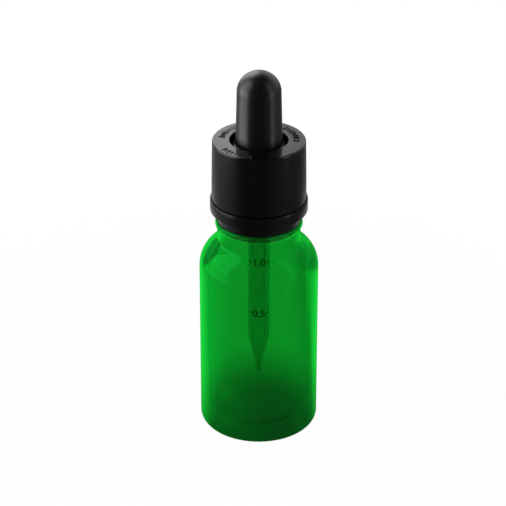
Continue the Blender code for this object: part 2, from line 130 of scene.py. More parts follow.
# Outer cap
OUTER_PLATE = 0.0011
CAP_UNDERSIDE_Z = CAP_TOP_Z - OUTER_PLATE
CAP_HOLE_RADIUS = 0.00703
CAP_HOLE_FILLET = 0.0002
CAP_FILLET = 0.00043
CAP_WALL = 0.0010
CAP_DRAFT = math.radians(1.0)
CAP_TOP_RADIUS = OUTER_HIGH.x - (CAP_TOP_Z - OUTER_LOW.z) * math.tan(CAP_DRAFT)
OUTER_LUG_SPAN = math.radians(16)
SNAP_TOP_Z = INNER_LOW.z - SEAT_GAP
SNAP_RADIUS = 0.0095
SNAP_NOSE = 0.0002

# Band, and the cap's thin edge that stands in a recess of its top
BAND_TOP_DROP = 0.0006
BAND_TOP_Z = OUTER_LOW.z - BAND_TOP_DROP
BAND_CORNER = 0.00022
SKIRT_HEIGHT = 0.0021087
BAND_STEP_Z = BAND_LOW.z + SKIRT_HEIGHT
SKIRT_RADII = (0.0092, 0.0102)
SKIRT_LIP_THICKNESS = 0.00015
SKIRT_LIP_DROP = 0.00038
SKIRT_LIP_Z = BAND_LOW.z - SKIRT_LIP_DROP
BAND_GROOVE_RADIUS = 0.00955
LIP_RADIUS = 0.00875
LIP_THICKNESS = 0.0007
TOP_LIP_THICKNESS = 0.00045
BRIDGE_COUNT = 8
BRIDGE_WIDTH = 0.0008
BRIDGE_THICKNESS = 0.00023
SLIT = 0.00016
PUSH_TRAVEL = 0.0005
CAP_EDGE_Z = BAND_TOP_Z + SLIT
CAP_EDGE_THICKNESS = 0.0005
CAP_EDGE_EASE = 0.00008
RECESS_PLAY = 0.0001
RECESS_OUTER = OUTER_HIGH.x + RECESS_PLAY
RECESS_INNER = OUTER_HIGH.x - CAP_EDGE_THICKNESS - RECESS_PLAY
RECESS_FLOOR_Z = CAP_EDGE_Z - PUSH_TRAVEL - RECESS_PLAY

# Raised marks on the cap's top: each row's start, its number of marks, which of them are arrow
# heads, and whether it stands on the inner or the outer ring
MARK_SLOPE = 0.00013
MARK_ROWS = (
    (math.radians(171), 8, (7,), 0),
    (math.radians(45), 9, (8,), 0),
    (math.radians(258), 9, (0, 8), 1),
)
ARROW_SHARE = 0.9
BAR_SHARE = 0.42
BAR_LENGTHS = (1.0, 0.72, 0.86)

# Bulb
BULB_BASE_RADIUS = 0.0056
BULB_TIP_RADIUS = 0.00528
BULB_DOME = 0.00512
BULB_DOME_Z = BULB_HIGH.z - BULB_DOME
BULB_WALL = 0.0011
COLLAR_RADIUS = 0.00625
COLLAR_DROP = 0.0012
COLLAR_EASE = 0.00025

# Pipette
PIPETTE_RADIUS = 0.00265
PIPETTE_BORE = 0.00185
PIPETTE_BEAD = 0.00055
PIPETTE_BEAD_DROP = 0.0015
PIPETTE_BEAD_Z = PIPETTE_HIGH.z - PIPETTE_BEAD_DROP
TIP_LENGTH = 0.0028
TIP_RADIUS = 0.0008
TIP_TOP_RADIUS = 0.0010
TIP_BORE = 0.0004
CONE_LENGTH = 0.0086
SIDE_BAR_LENGTH = 0.0009
SIDE_BAR_THICKNESS = 0.00032
SIDE_BAR_ANGLE = math.radians(53)
FONT_SIZE_SHARE = 1.4
FONT_WEIGHT = 0.02

# Fineness of the surfaces
BOTTLE_SEGMENTS = 216
CLOSURE_SEGMENTS = 144
BULB_SEGMENTS = 120
PIPETTE_SEGMENTS = 64
TABLE_SEGMENTS = 96
BRIDGE_STEPS = 3
LUG_STEPS = 6
SIDE_BAR_STEPS = 8
FINGER_STEPS = 16
NOTCH_COUNT = BOTTLE_SEGMENTS // 4
NECK_ROWS = 0.00018
BORE_ROWS = 0.0002
RING_ROWS = BEARING_WIDTH / 12
ARC_STEP = math.radians(6)
SHARP_ANGLE = math.radians(38)
SAME_POINT = 1e-7
FULL_TURN = 2 * math.pi
HALF_TURN = math.pi
QUARTER_TURN = math.pi / 2
MM = 0.001

# Numbers of the looks on the bottle, in the order that its operator makes them
OUTSIDE, INSIDE, COLLAR, NECK, FLOOR, COLLAR_TOP = range(6)

# Finish: at which slants the glass passes from its front tint to its edge tint, and how strongly
# clouds, films, scuffs and wear change a surface
OUTSIDE_SLANT = (0.50, 0.95)
INSIDE_SLANT = (0.14, 0.97)
COLLAR_SLANT = (0.30, 1.00)
COLLAR_TOP_SLANT = (0.75, 1.00)
CLOUD_SLANT = 0.05
FILM_ROUGHNESS = 0.02
POLISH_SLOPE = (0.55, 0.85)
POLISH_SMOOTHING = 0.85
CLOUD_ROUGHNESS = 0.02
SCUFF_ROUGHNESS = 0.03
RUBBER_CLOUD_ROUGHNESS = 0.06
RUBBED_ROUGHNESS = 0.05
SHEEN_ROUGHNESS = 0.35
HAZE_ROUGHNESS = 0.05
PRINT_ROUGHNESS = 0.45
WORN_ROUGHNESS = 0.2
FLOOR_ROUGHNESS = 0.9
CLEAR = (1.0, 1.0, 1.0)
WHITE = (1.0, 1.0, 1.0, 1.0)

# The room by direction, as reflections see it. A pair is where a light begins and where it is full
LEFT_WAY = (-0.93, 0.37)
LEFT_RISE = (0.20, 1.05)
RIGHT_RISE = (0.15, 0.80)
BEHIND_RISE = (0.40, 0.90)
WALL_RISE = (0.0, 0.7)
WALL_FOOT = (-0.06, 0.10)
WALL_TOP = (0.60, 0.80)
WINDOW_SIDE = (0.20, 0.40)
WINDOW_FRONT = (-0.50, -0.46)
WINDOW_FOOT = (-0.34, -0.20)
WINDOW_TOP = (0.08, 0.16)
LEFT_WINDOW_BACK = (0.42, 0.50)
RIGHT_WINDOW_BACK = (-0.30, -0.20)

# Painted shade and painted light on the table, which only rays through the bottle's glass see. X is
# right of the bottle's axis and Y behind it, in metres.
# A pair is where a change begins and where it is complete, and the rest are tones and shares
TABLE_EDGE = (0.60, 0.95)
SHADE_MIDDLE_X = 0.001
UNDER_REACH = 0.023
UNDER_RISE = 0.09
CLEAR_TONE = 0.91
ROUND_REACH = 1.2
STRIP_Y = (-0.026, -0.010)
STRIP_X = (0.016, 0.030)
FOOT_LIGHT = 0.40
FOOT_LIGHT_X = ((-0.0105, -0.008), (-0.008, 0.003))
FOOT_LIGHT_Y = ((-0.006, -0.001), (0.007, 0.017))
FOOT_SHADE_SLANT = 0.5
FOOT_SHADE_Y = (-0.008, -0.001)
FOOT_SHADE_X = (-0.003, 0.007)
FOOT_SHADE_END = (0.0085, 0.0105)
FOOT_SHADE_LEFT = 0.12
FOOT_SHADE_RISE = 0.22
RIGHT_X = (0.005, 0.014)
RIGHT_END = (0.0134, 0.0143)
# Colour of the painted shade where it is darkest
PAINTED_SHADE_COLOUR = (0.45, 0.0, 0.14, 1.0)
TABLE_DROP = 0.00002

# Painted dark fields of the table that only the glass shows, which put painted shade on the bottle's
# shoulders:
# the place, the half size, the lean, how far the even middle reaches, and the strength of each
FIELD_END = 1.10
PAINTED_DARK_FIELDS = (
    ((-0.0130, 0.0873), (0.0014, 0.0086), 0.20, 0.80, 1.45),
    ((0.0152, 0.0845), (0.0052, 0.0105), 0.0, 0.20, 0.70),
    ((0.0157, 0.0850), (0.0023, 0.0110), 0.0, 0.30, 0.70),
)

# Soft lamps, by the setting that holds the brightness: the place, and the size across and upward
LAMPS = {
    "left_lamp": ((-0.073, -0.0085, 0.1255), (0.069, 0.139)),
    "right_lamp": ((0.073, -0.0085, 0.1255), (0.069, 0.139)),
    "right_strip": ((0.072, -0.0340, 0.1255), (0.018, 0.139)),
    "back_lamp": ((-0.036, 0.085, 0.1125), (0.070, 0.045)),
    "high_lamp": ((-0.036, 0.085, 0.185), (0.070, 0.100)),
}
SENSOR_WIDTH = 36.0


class Signal:
    """A value on its way through a material's nodes. Arithmetic on it adds Math nodes."""

    def __init__(self, look, socket):
        self.look = look
        self.socket = socket

    def maths(self, operation, first, second):
        return self.look.add("ShaderNodeMath", {"operation": operation}, {0: first, 1: second})

    def __add__(self, other):
        return self.maths("ADD", self, other)

    def __radd__(self, other):
        return self.maths("ADD", other, self)

    def __sub__(self, other):
        return self.maths("SUBTRACT", self, other)

    def __rsub__(self, other):
        return self.maths("SUBTRACT", other, self)

    def __mul__(self, other):
        return self.maths("MULTIPLY", self, other)

    def __rmul__(self, other):
        return self.maths("MULTIPLY", other, self)


class Look:
    """A node tree being written: a material's or the world's."""

    def __init__(self, owner):
        owner.use_nodes = True
        self.owner = owner
        self.nodes = owner.node_tree.nodes
        self.links = owner.node_tree.links

    def add(self, kind, settings=None, values=None, output=0):
        """Adds a node, with its settings set before its sockets, and gives one of its outputs."""
        made = self.nodes.new(kind)
        self.set_node(made, settings or {}, values or {})
        return Signal(self, made.outputs[output])

    def set_node(self, node, settings, values):
        for key, value in settings.items():
            setattr(node, key, value)
        for key, value in values.items():
            if isinstance(value, Signal):
                self.links.new(value.socket, node.inputs[key])
            else:
                node.inputs[key].default_value = value

    def blend(self, share, first, second):
        """A colour between two colours."""
        return self.add(
            "ShaderNodeMix",
            {"data_type": "RGBA"},
            {"Factor": share, 6: first, 7: second},
            output=2,
        )

    def tones(self, share, colour, low, high):
        """A colour that runs from low times to high times its brightness."""
        return self.blend(share, scaled(colour, low), scaled(colour, high))

    def spots(self, size, detail=2.0, stretch=(1.0, 1.0, 1.0)):
        """Soft random spots of about this size in metres, from 0 to 1."""
        place = self.add("ShaderNodeTexCoord", output="Object")
        place = self.add("ShaderNodeVectorMath", {"operation": "MULTIPLY"}, {0: place, 1: stretch})
        return self.add(
            "ShaderNodeTexNoise", {}, {"Vector": place, "Scale": 1.0 / size, "Detail": detail}
        )

    def patches(self, size, start, full, detail=2.0, stretch=(1.0, 1.0, 1.0)):
        """Random patches, where the soft spots rise from start to full."""
        return self.within(self.spots(size, detail, stretch), start, full)

    def within(self, value, low, high):
        """0 below low, 1 above high, and smooth in between."""
        return self.add(
            "ShaderNodeMapRange",
            {"interpolation_type": "SMOOTHSTEP"},
            {"Value": value, "From Min": low, "From Max": high},
        )

    def below(self, value, low, high):
        """1 below low, 0 above high, and smooth in between."""
        return 1.0 - self.within(value, low, high)

    def between(self, value, rise, fall):
        """1 between a rise and a fall, and 0 outside them."""
        return self.within(value, *rise) * self.below(value, *fall)

    def ramp(self, value, low, high):
        """0 below low, 1 above high, and a straight rise in between."""
        return self.add("ShaderNodeMapRange", {}, {"Value": value, "From Min": low, "From Max": high})

    def relief(self, height, depth):
        """A normal from a height that runs from 0 to 1 over this depth in metres."""
        return self.add("ShaderNodeBump", {}, {"Height": height, "Strength": 1.0, "Distance": depth})

    def part(self, vector, axis):
        """The X, Y or Z of a vector."""
        return self.add("ShaderNodeSeparateXYZ", {}, {0: vector}, output=axis)

    def ray(self, kind):
        """1 for a ray of this kind: Camera, Glossy, Transmission or Shadow."""
        return self.add("ShaderNodeLightPath", output=f"Is {kind} Ray")

    def surface(self, values):
        """Sets the sockets of the material's own shader."""
        shader = self.nodes["Principled BSDF"]
        self.set_node(shader, {}, values)
        return Signal(self, shader.outputs[0])

    def mixed(self, share, first, second):
        """A shader between two shaders."""
        return self.add("ShaderNodeMixShader", {}, {0: share, 1: first, 2: second})

    def show(self, shader):
        """Sends a shader to the material's output."""
        self.links.new(shader.socket, self.nodes["Material Output"].inputs["Surface"])


def new_look(name):
    return Look(bpy.data.materials.new(name))


def opaque(colour):
    return (*colour, 1.0)


def scaled(colour, share):
    return opaque([channel * share for channel in colour])


def glass_look(name, tints, slants, ior, shine_ior, settings):
    """Tinted glass. A ray takes the front tint where it enters squarely and the edge tint where it
    enters at a slant, and the leaving tint on its way out of the glass."""
    look = new_look(name)
    look.nodes.remove(look.nodes["Principled BSDF"])
    cloud = look.spots(9 * MM)
    ripple = look.spots(3.5 * MM, detail=1.0, stretch=(1.0, 1.0, 0.45))
    film = look.patches(1.3 * MM, start=0.45, full=0.75, detail=4.0)
    shape = {
        "Roughness": settings.roughness + FILM_ROUGHNESS * film,
        "Normal": look.relief(ripple, settings.ripple_depth),
    }

    def bent(tint):
        colour = {"Color": opaque(tint), "IOR": ior}
        return look.add("ShaderNodeBsdfRefraction", {}, {**colour, **shape})

    slant = look.add("ShaderNodeLayerWeight", {}, {"Blend": 0.5}, output="Facing")
    leaving = look.add("ShaderNodeNewGeometry", output="Backfacing")
    mirrored = look.add("ShaderNodeFresnel", {}, {"IOR": shine_ior}) * (1.0 - leaving)
    slant_share = look.within(slant + CLOUD_SLANT * (cloud - 0.5), *slants)
    front, edge, exit_tint = tints
    passed = look.mixed(slant_share, bent(front), bent(edge))
    passed = look.mixed(leaving, passed, bent(exit_tint))
    mirror = {"Color": opaque(settings.reflection_tint)}
    mirror = look.add("ShaderNodeBsdfAnisotropic", {}, {**mirror, **shape})
    body = look.mixed(mirrored, passed, mirror)
    clear = look.add("ShaderNodeBsdfTransparent", {}, {0: opaque(settings.shadow_tint)})
    look.show(look.mixed(look.ray("Shadow"), body, clear))
    return look.owner


def plastic_look(name, settings):
    """Black moulded plastic: satin sides, and more polish where a surface faces up."""
    look = new_look(name)
    cloud = look.spots(6 * MM)
    grain = look.spots(0.12 * MM, detail=3.0)
    scuffs = look.patches(1.6 * MM, start=0.56, full=0.74, detail=5.0, stretch=(1.0, 1.0, 0.3))
    upward = look.part(look.add("ShaderNodeNewGeometry", output="Normal"), "Z")
    polish = look.within(upward, *POLISH_SLOPE)
    rough = settings.roughness + (settings.top_roughness - settings.roughness) * polish
    look.surface(
        {
            "Base Color": look.tones(cloud, settings.colour, low=0.8, high=1.2),
            "Roughness": rough + CLOUD_ROUGHNESS * cloud + SCUFF_ROUGHNESS * scuffs,
            "Specular IOR Level": settings.shine,
            "Normal": look.relief(grain * (1.0 - POLISH_SMOOTHING * polish), settings.grain_depth),
        }
    )
    return look.owner


def rubber_look(name, settings):
    """Soft black rubber: a fine grain, a dusty sheen and a few paler rubbed spots."""
    look = new_look(name)
    cloud = look.spots(4 * MM)
    grain = look.spots(0.16 * MM, detail=4.0)
    rubbed = look.patches(2.2 * MM, start=0.55, full=0.75, detail=5.0)
    rough = settings.roughness + RUBBER_CLOUD_ROUGHNESS * cloud + RUBBED_ROUGHNESS * rubbed
    look.surface(
        {
            "Base Color": look.tones(rubbed, settings.colour, low=0.9, high=1.35),
            "Roughness": rough,
            "Specular IOR Level": settings.shine,
            "Sheen Weight": settings.sheen,
            "Sheen Roughness": SHEEN_ROUGHNESS,
            "Normal": look.relief(grain, settings.grain_depth),
        }
    )
    return look.owner


def pipette_look(name, colour, settings):
    """Clear natural plastic with a faint haze."""
    look = new_look(name)
    haze = look.spots(1.8 * MM, detail=3.0, stretch=(1.0, 1.0, 0.3))
    streak = look.spots(0.9 * MM, detail=2.0, stretch=(1.0, 1.0, 0.1))
    shader = look.surface(
        {
            "Base Color": look.tones(haze, colour, low=0.94, high=1.0),
            "Roughness": settings.roughness + HAZE_ROUGHNESS * haze,
            "Transmission Weight": 1.0,
            "IOR": settings.ior,
            "Normal": look.relief(streak, settings.streak_depth),
        }
    )
    clear = look.add("ShaderNodeBsdfTransparent", {}, {0: opaque(colour)})
    look.show(look.mixed(look.ray("Shadow"), shader, clear))
    return look.owner


def print_look(name, settings):
    """The dark print of the pipette's marks, a little worn."""
    look = new_look(name)
    worn = look.patches(0.35 * MM, start=0.35, full=0.7, detail=4.0)
    look.surface(
        {
            "Base Color": look.tones(worn, settings.print_colour, low=1.0, high=1.6),
            "Roughness": PRINT_ROUGHNESS + WORN_ROUGHNESS * worn,
        }
    )
    return look.owner


def room_light(look, direction, settings):
    """Brightness of the room as reflections see it: dim in front, brighter at the sides and behind,
    and a white wall behind the table."""
    x, y, z = (look.part(direction, axis) for axis in "XYZ")
    left = look.within(LEFT_WAY[0] * x + LEFT_WAY[1] * y, *LEFT_RISE)
    right = look.within(x, *RIGHT_RISE)
    sides = settings.front_light + settings.left_light * left + settings.right_light * right
    sides = sides + settings.behind_light * look.within(y, *BEHIND_RISE)
    wall = look.within(y, *WALL_RISE) * look.between(z, WALL_FOOT, WALL_TOP)
    return sides + (settings.wall_light - sides) * wall


def low_windows(look, direction, settings):
    """Brightness of the low windows on the left and right as reflections see them: the left one is
    wide, and only the front of the right one is lit."""
    x, y, z = (look.part(direction, axis) for axis in "XYZ")
    left = look.within(-1.0 * x, *WINDOW_SIDE) * look.below(y, *LEFT_WINDOW_BACK)
    right = look.within(x, *WINDOW_SIDE) * look.below(y, *RIGHT_WINDOW_BACK)
    window = settings.left_window * left + settings.right_window * right
    return window * look.between(z, WINDOW_FOOT, WINDOW_TOP) * look.within(y, *WINDOW_FRONT)


def painted_shade_behind(look, x, y, settings):
    """Painted shade of the table as seen through the glass: darkest behind the bottle's foot and clear
    farther back.
    In a strip behind the bottle its edge is bent, and elsewhere the painted shade is round."""
    beside = x - SHADE_MIDDLE_X
    bent = y + beside * beside * (settings.shade_bend - settings.shade_spread * y)
    around = ROUND_REACH * look.add("ShaderNodeMath", {"operation": "SQRT"}, {0: x * x + y * y})
    sideways = look.add("ShaderNodeMath", {"operation": "ABSOLUTE"}, {0: x})
    strip = look.within(y, *STRIP_Y) * look.below(sideways, *STRIP_X)
    behind = around + (bent - around) * strip
    shade_start, shade_end = settings.shade_reach
    under = look.ramp(behind, shade_start - UNDER_REACH, shade_start)
    clear = look.ramp(behind, shade_start, shade_end)
    return settings.shade_tone + UNDER_RISE * under + (CLEAR_TONE - settings.shade_tone) * clear


def painted_light_and_shade_at_foot(look, x, y):
    """What multiplies that painted tone near the foot: painted light on the left, and painted shade in
    front.
    """
    light = look.between(x, *FOOT_LIGHT_X) * look.between(y, *FOOT_LIGHT_Y)
    dark = FOOT_SHADE_LEFT + FOOT_SHADE_RISE * look.within(x, *FOOT_SHADE_X)
    dark = dark * look.below(y - FOOT_SHADE_SLANT * x, *FOOT_SHADE_Y)
    dark = dark * look.below(x, *FOOT_SHADE_END)
    return (1.0 + FOOT_LIGHT * light) * (1.0 - dark)


def painted_shade_at_sides(look, x, y, settings):
    """What multiplies that painted tone: painted shade on the right, and in the painted dark fields."""
    right = look.within(x, *RIGHT_X)
    tone = 1.0 - settings.painted_right_shade * right * right * look.below(x, *RIGHT_END)
    # Each field is a painted dark patch, seen only through the shoulders
    for (middle_x, middle_y), (half_x, half_y), lean, even, strength in PAINTED_DARK_FIELDS:
        up = y - middle_y
        across = (x - middle_x - lean * up) * (1.0 / half_x)
        up = up * (1.0 / half_y)
        field = look.below(across * across + up * up, even, FIELD_END)
        tone = tone * (1.0 - strength * settings.painted_field_shade * field)
    return tone


def floor_look(name, settings):
    """A pale table that keeps soft shadows, and is white where it is seen directly. Reflections see it
    glow as bright as the room in that direction, a painted reflection. What is seen through glass is a
    painted shade of its own, which is placed for the bottle and isn't its real shadow."""
    look = new_look(name)
    mottle = look.spots(70 * MM, detail=3.0)
    diffuse = look.surface(
        {
            "Base Color": look.tones(mottle, settings.floor_colour, low=0.985, high=1.0),
            "Roughness": FLOOR_ROUGHNESS,
            "Specular IOR Level": 0.0,
        }
    )
    through = look.ray("Transmission")
    mirrored = look.ray("Glossy") * (1.0 - through)
    place = look.add("ShaderNodeTexCoord", output="Object")
    outward = look.add("ShaderNodeVectorMath", {"operation": "NORMALIZE"}, {0: place}, output="Vector")
    distance = look.add("ShaderNodeVectorMath", {"operation": "LENGTH"}, {0: place}, output="Value")
    edge = look.within(distance * (1.0 / settings.table_radius), *TABLE_EDGE)
    x = look.part(place, "X")
    y = look.part(place, "Y") + settings.table_back
    # Painted shade and painted light, which only rays through glass see; no lamp casts them
    shade = painted_shade_behind(look, x, y, settings) * painted_light_and_shade_at_foot(look, x, y)
    shade = shade * painted_shade_at_sides(look, x, y, settings)
    # For reflections the table glows as bright as the room in that direction: a painted reflection of
    # the room
    reflected = 1.0 + (room_light(look, outward, settings) - 1.0) * mirrored
    tone = look.blend(through, reflected, look.blend(shade, PAINTED_SHADE_COLOUR, WHITE))
    glow = look.add("ShaderNodeEmission", {}, {"Color": tone, "Strength": 1.0})
    seen = settings.floor_glow * look.ray("Camera") + through + mirrored
    look.show(look.mixed(seen + (1.0 - seen) * edge, diffuse, glow))
    return look.owner


def arc(centre_r, centre_z, radius, start, end):
    """Points (r, z) along a circular arc, as many as it needs to look round."""
    steps = max(3, math.ceil(abs(end - start) / ARC_STEP))
    angles = [start + (end - start) * i / steps for i in range(steps + 1)]
    return [(centre_r + radius * math.cos(a), centre_z + radius * math.sin(a)) for a in angles]


def ellipse(height, r_size, z_size, start, end):
    """Points (r, z) along a quarter ellipse that is centred on the axis."""
    return [(r_size * r, height + z_size * z) for r, z in arc(0.0, 0.0, 1.0, start, end)]


def shallow_dome(edge_radius, edge_z, rise):
    """Points (r, z) from the axis out to the edge of a low spherical dome."""
    sphere = (edge_radius * edge_radius + rise * rise) / (2 * rise)
    half = math.asin(edge_radius / sphere)
    return arc(0.0, edge_z + rise - sphere, sphere, QUARTER_TURN, QUARTER_TURN - half)


def smooth_step(r_start, z_start, r_end, z_end, steps=12):
    """Points (r, z) on an S-curve that leaves and arrives upright."""
    shares = [i / steps for i in range(steps + 1)]
    return [
        (r_start + (r_end - r_start) * ease(t), z_start + (z_end - z_start) * t) for t in shares
    ]


def ease(share):
    """0 to 1 with a level start and end."""
    held = min(1.0, max(0.0, share))
    return held * held * (3 - 2 * held)


def straight(start, end, spacing):
    """Points (r, z) on a straight line, no further apart than spacing."""
    steps = max(1, math.ceil(math.dist(start, end) / spacing))
    return [
        (
            start[0] + (end[0] - start[0]) * i / steps,
            start[1] + (end[1] - start[1]) * i / steps,
        )
        for i in range(steps + 1)
    ]


def rounded(outline, corner, closed):
    """The outline with each of its sharp corners cut by a small arc of three points."""
    count = len(outline)
    made = []
    for i, point in enumerate(outline):
        if not closed and i in (0, count - 1):
            made.append(point)
            continue
        here = Vector(point)
        back = Vector(outline[i - 1]) - here
        ahead = Vector(outline[(i + 1) % count]) - here
        if HALF_TURN - back.angle(ahead) < SHARP_ANGLE:
            made.append(point)
            continue
        reach = min(corner, back.length / 3, ahead.length / 3)
        first = here + back.normalized() * reach
        last = here + ahead.normalized() * reach
        made += [tuple(first), tuple(here * 0.5 + (first + last) * 0.25), tuple(last)]
    return made


def turned(r, angle, z):
    """The point at this radius, angle and height."""
    return (r * math.cos(angle), r * math.sin(angle), z)


def spin(sections, segments, closed):
    """A bmesh turned round the Z axis. Each section is a material number, its (r, z) points and,
    where the surface isn't round, a function that gives r and z at an angle."""
    rows = []
    for number, points, shape in sections:
        for point in points:
            if not rows or math.dist(point, rows[-1][0]) > SAME_POINT:
                rows.append((point, number, shape))
    bm = bmesh.new()
    rings = []
    for (r, z), _, shape in rows:
        if r < SAME_POINT:
            rings.append([bm.verts.new((0.0, 0.0, z))])
            continue
        ring = []
        for i in range(segments):
            angle = FULL_TURN * i / segments
            r_here, z_here = shape(r, z, angle) if shape else (r, z)
            ring.append(bm.verts.new(turned(r_here, angle, z_here)))
        rings.append(ring)
    pairs = list(zip(rings, rings[1:], rows[1:]))
    if closed:
        pairs.append((rings[-1], rings[0], rows[0]))
    for low, high, (_, number, _) in pairs:
        for i in range(segments):
            j = (i + 1) % segments
            corners = [low[i % len(low)], low[j % len(low)], high[j % len(high)], high[i % len(high)]]
            face = bm.faces.new(list(dict.fromkeys(corners)))
            face.material_index = number
    bmesh.ops.recalc_face_normals(bm, faces=bm.faces)
    return bm


def mesh_of(name, bm):
    """A mesh made from the bmesh, which is freed."""
    mesh = bpy.data.meshes.new(name)
    bm.to_mesh(mesh)
    bm.free()
    return mesh


def placed(name, data):
    """A new object in the scene."""
    made = bpy.data.objects.new(name, data)
    bpy.context.scene.collection.objects.link(made)
    return made


def piece(name, bm, materials, body, replaces=()):
    """Makes a bmesh into a smooth-shaded piece that rides on a body."""
    mesh = mesh_of(name, bm)
    for finish in materials:
        mesh.materials.append(finish)
    mesh.shade_smooth()
    mesh.set_sharp_from_angle(angle=SHARP_ANGLE)
    made = placed(name, mesh)
    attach(made, body)
    if replaces:
        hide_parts(*replaces)
    return made


def add_skin(bm, rings):
    """Joins rings of equally many points with faces, and closes both ends."""
    for first, second in zip(rings, rings[1:]):
        for i in range(len(first)):
            j = (i + 1) % len(first)
            bm.faces.new((first[i], first[j], second[j], second[i]))
    bm.faces.new(rings[0])
    bm.faces.new(rings[-1])


def add_sector(bm, radii, heights, start, span, steps, rise=0.0):
    """Adds a block that is swept round the Z axis from start through span, and climbs by rise."""
    (inner, outer), (low, high) = radii, heights
    corners = ((inner, low), (outer, low), (outer, high), (inner, high))
    rings = []
    for i in range(steps + 1):
        angle = start + span * i / steps
        lift = rise * i / steps
        rings.append([bm.verts.new(turned(r, angle, z + lift)) for r, z in corners])
    add_skin(bm, rings)


def joined(target, bm):
    """Joins the blocks in the bmesh to the piece and applies the union."""
    bmesh.ops.recalc_face_normals(bm, faces=bm.faces)
    blocks = placed("blocks", mesh_of("blocks", bm))
    union = target.modifiers.new("union", "BOOLEAN")
    union.operation = "UNION"
    union.solver = "EXACT"
    union.object = blocks
    graph = bpy.context.evaluated_depsgraph_get()
    result = bpy.data.meshes.new_from_object(target.evaluated_get(graph))
    target.modifiers.remove(union)
    target.data = result
    bpy.data.objects.remove(blocks)
    result.set_sharp_from_angle(angle=SHARP_ANGLE)


def thread(core, height, turns, pitch, start_z):
    """A function that raises a rounded helical ridge on a round wall; a negative height sinks one."""

    def shape(r, z, angle):
        rise = 0.0
        for k in range(math.ceil(turns) + 1):
            along = angle / FULL_TURN + k
            if along > turns:
                continue
            off = abs(z - start_z - pitch * along)
            ends = ease(along / THREAD_FADE) * ease((turns - along) / THREAD_FADE)
            rise = max(rise, ends * ease((THREAD_FOOT - off) / (THREAD_FOOT - THREAD_CREST)))
        return core + height * rise, z

    return shape


def knurled(outer, inner, depth, count):
    """A function that cuts small radial notches into the ring that the bottle stands on."""
    middle = (outer + inner) / 2
    half = (outer - inner) / 2

    def shape(r, z, angle):
        window = ease(NOTCH_EDGE * (1 - abs(r - middle) / half))
        notch = 0.5 - 0.5 * math.cos(count * angle)
        return r, z + depth * window * notch

    return shape


def waist_fillet():
    """Centre of the fillet between shoulder and waist, as r and z, and the angle at which they meet."""
    r = WAIST_RADIUS + WAIST_FILLET
    across = r - SHOULDER_CENTRE_R
    up = math.sqrt((SHOULDER_ARC + WAIST_FILLET) ** 2 - across**2)
    return r, STRAIGHT_SIDE + up, math.atan2(up, across)


def body_sections(settings):
    """Outside of the body: domed base, notched ring, heel, straight side, shoulder and waist."""
    fillet_r, fillet_z, fillet_angle = waist_fillet()
    heel_r = BODY_RADIUS - HEEL_RADIUS
    dome_r = heel_r - BEARING_WIDTH
    base = shallow_dome(dome_r, 0.0, PUNT_HEIGHT)
    ring = straight((dome_r, 0.0), (heel_r, 0.0), RING_ROWS)
    notches = knurled(heel_r, dome_r, settings.notch_depth, NOTCH_COUNT)
    side = arc(heel_r, HEEL_RADIUS, HEEL_RADIUS, -QUARTER_TURN, 0.0)
    side += arc(SHOULDER_CENTRE_R, STRAIGHT_SIDE, SHOULDER_ARC, 0.0, fillet_angle)
    side += arc(fillet_r, fillet_z, WAIST_FILLET, fillet_angle + HALF_TURN, HALF_TURN)
    return [(OUTSIDE, base, None), (OUTSIDE, ring, notches), (OUTSIDE, side, None)]


def collar_sections():
    """The end of the waist, the bead under the band, the groove and the bead that holds the band."""
    bead_r = TRANSFER_BEAD_RADIUS - TRANSFER_BEAD_ROUND
    tamper_r = TAMPER_BEAD_RADIUS - TAMPER_BEAD_ROUND
    bead_start = -math.acos((WAIST_RADIUS - bead_r) / TRANSFER_BEAD_ROUND)
    tamper_start = -math.acos((GROOVE_RADIUS - tamper_r) / TAMPER_BEAD_ROUND)
    groove_r = GROOVE_RADIUS + CORNER_EASE
    groove_z = TRANSFER_BEAD_Z + TRANSFER_BEAD_ROUND + CORNER_EASE
    waist = [(WAIST_RADIUS, TRANSFER_BEAD_Z + TRANSFER_BEAD_ROUND * math.sin(bead_start))]
    side = arc(bead_r, TRANSFER_BEAD_Z, TRANSFER_BEAD_ROUND, bead_start, BEAD_TOP_ANGLE)
    top = arc(bead_r, TRANSFER_BEAD_Z, TRANSFER_BEAD_ROUND, BEAD_TOP_ANGLE, QUARTER_TURN)
    top += arc(groove_r, groove_z, CORNER_EASE, -QUARTER_TURN, -HALF_TURN)
    top += arc(tamper_r, TAMPER_BEAD_Z, TAMPER_BEAD_ROUND, tamper_start, QUARTER_TURN)
    top.append((THREAD_CORE_RADIUS, TAMPER_BEAD_Z + TAMPER_BEAD_ROUND))
    return [(OUTSIDE, waist, None), (COLLAR, side, None), (COLLAR_TOP, top, None)]


def neck_sections(settings):
    """The threaded neck and the mouth's rim."""
    foot_z = TAMPER_BEAD_Z + TAMPER_BEAD_ROUND + SAME_POINT * 2
    rim_z = MOUTH_Z - RIM_ROUND
    height, turns, pitch = settings.thread_height, settings.thread_turns, settings.thread_pitch
    neck = straight((THREAD_CORE_RADIUS, foot_z), (THREAD_CORE_RADIUS, rim_z), NECK_ROWS)
    ridge = thread(THREAD_CORE_RADIUS, height, turns, pitch, THREAD_START_Z)
    rim = arc(THREAD_CORE_RADIUS - RIM_ROUND, rim_z, RIM_ROUND, 0.0, QUARTER_TURN)
    rim += arc(NECK_BORE_RADIUS + RIM_ROUND, rim_z, RIM_ROUND, QUARTER_TURN, HALF_TURN)
    return [(NECK, neck, ridge), (NECK, rim, None)]


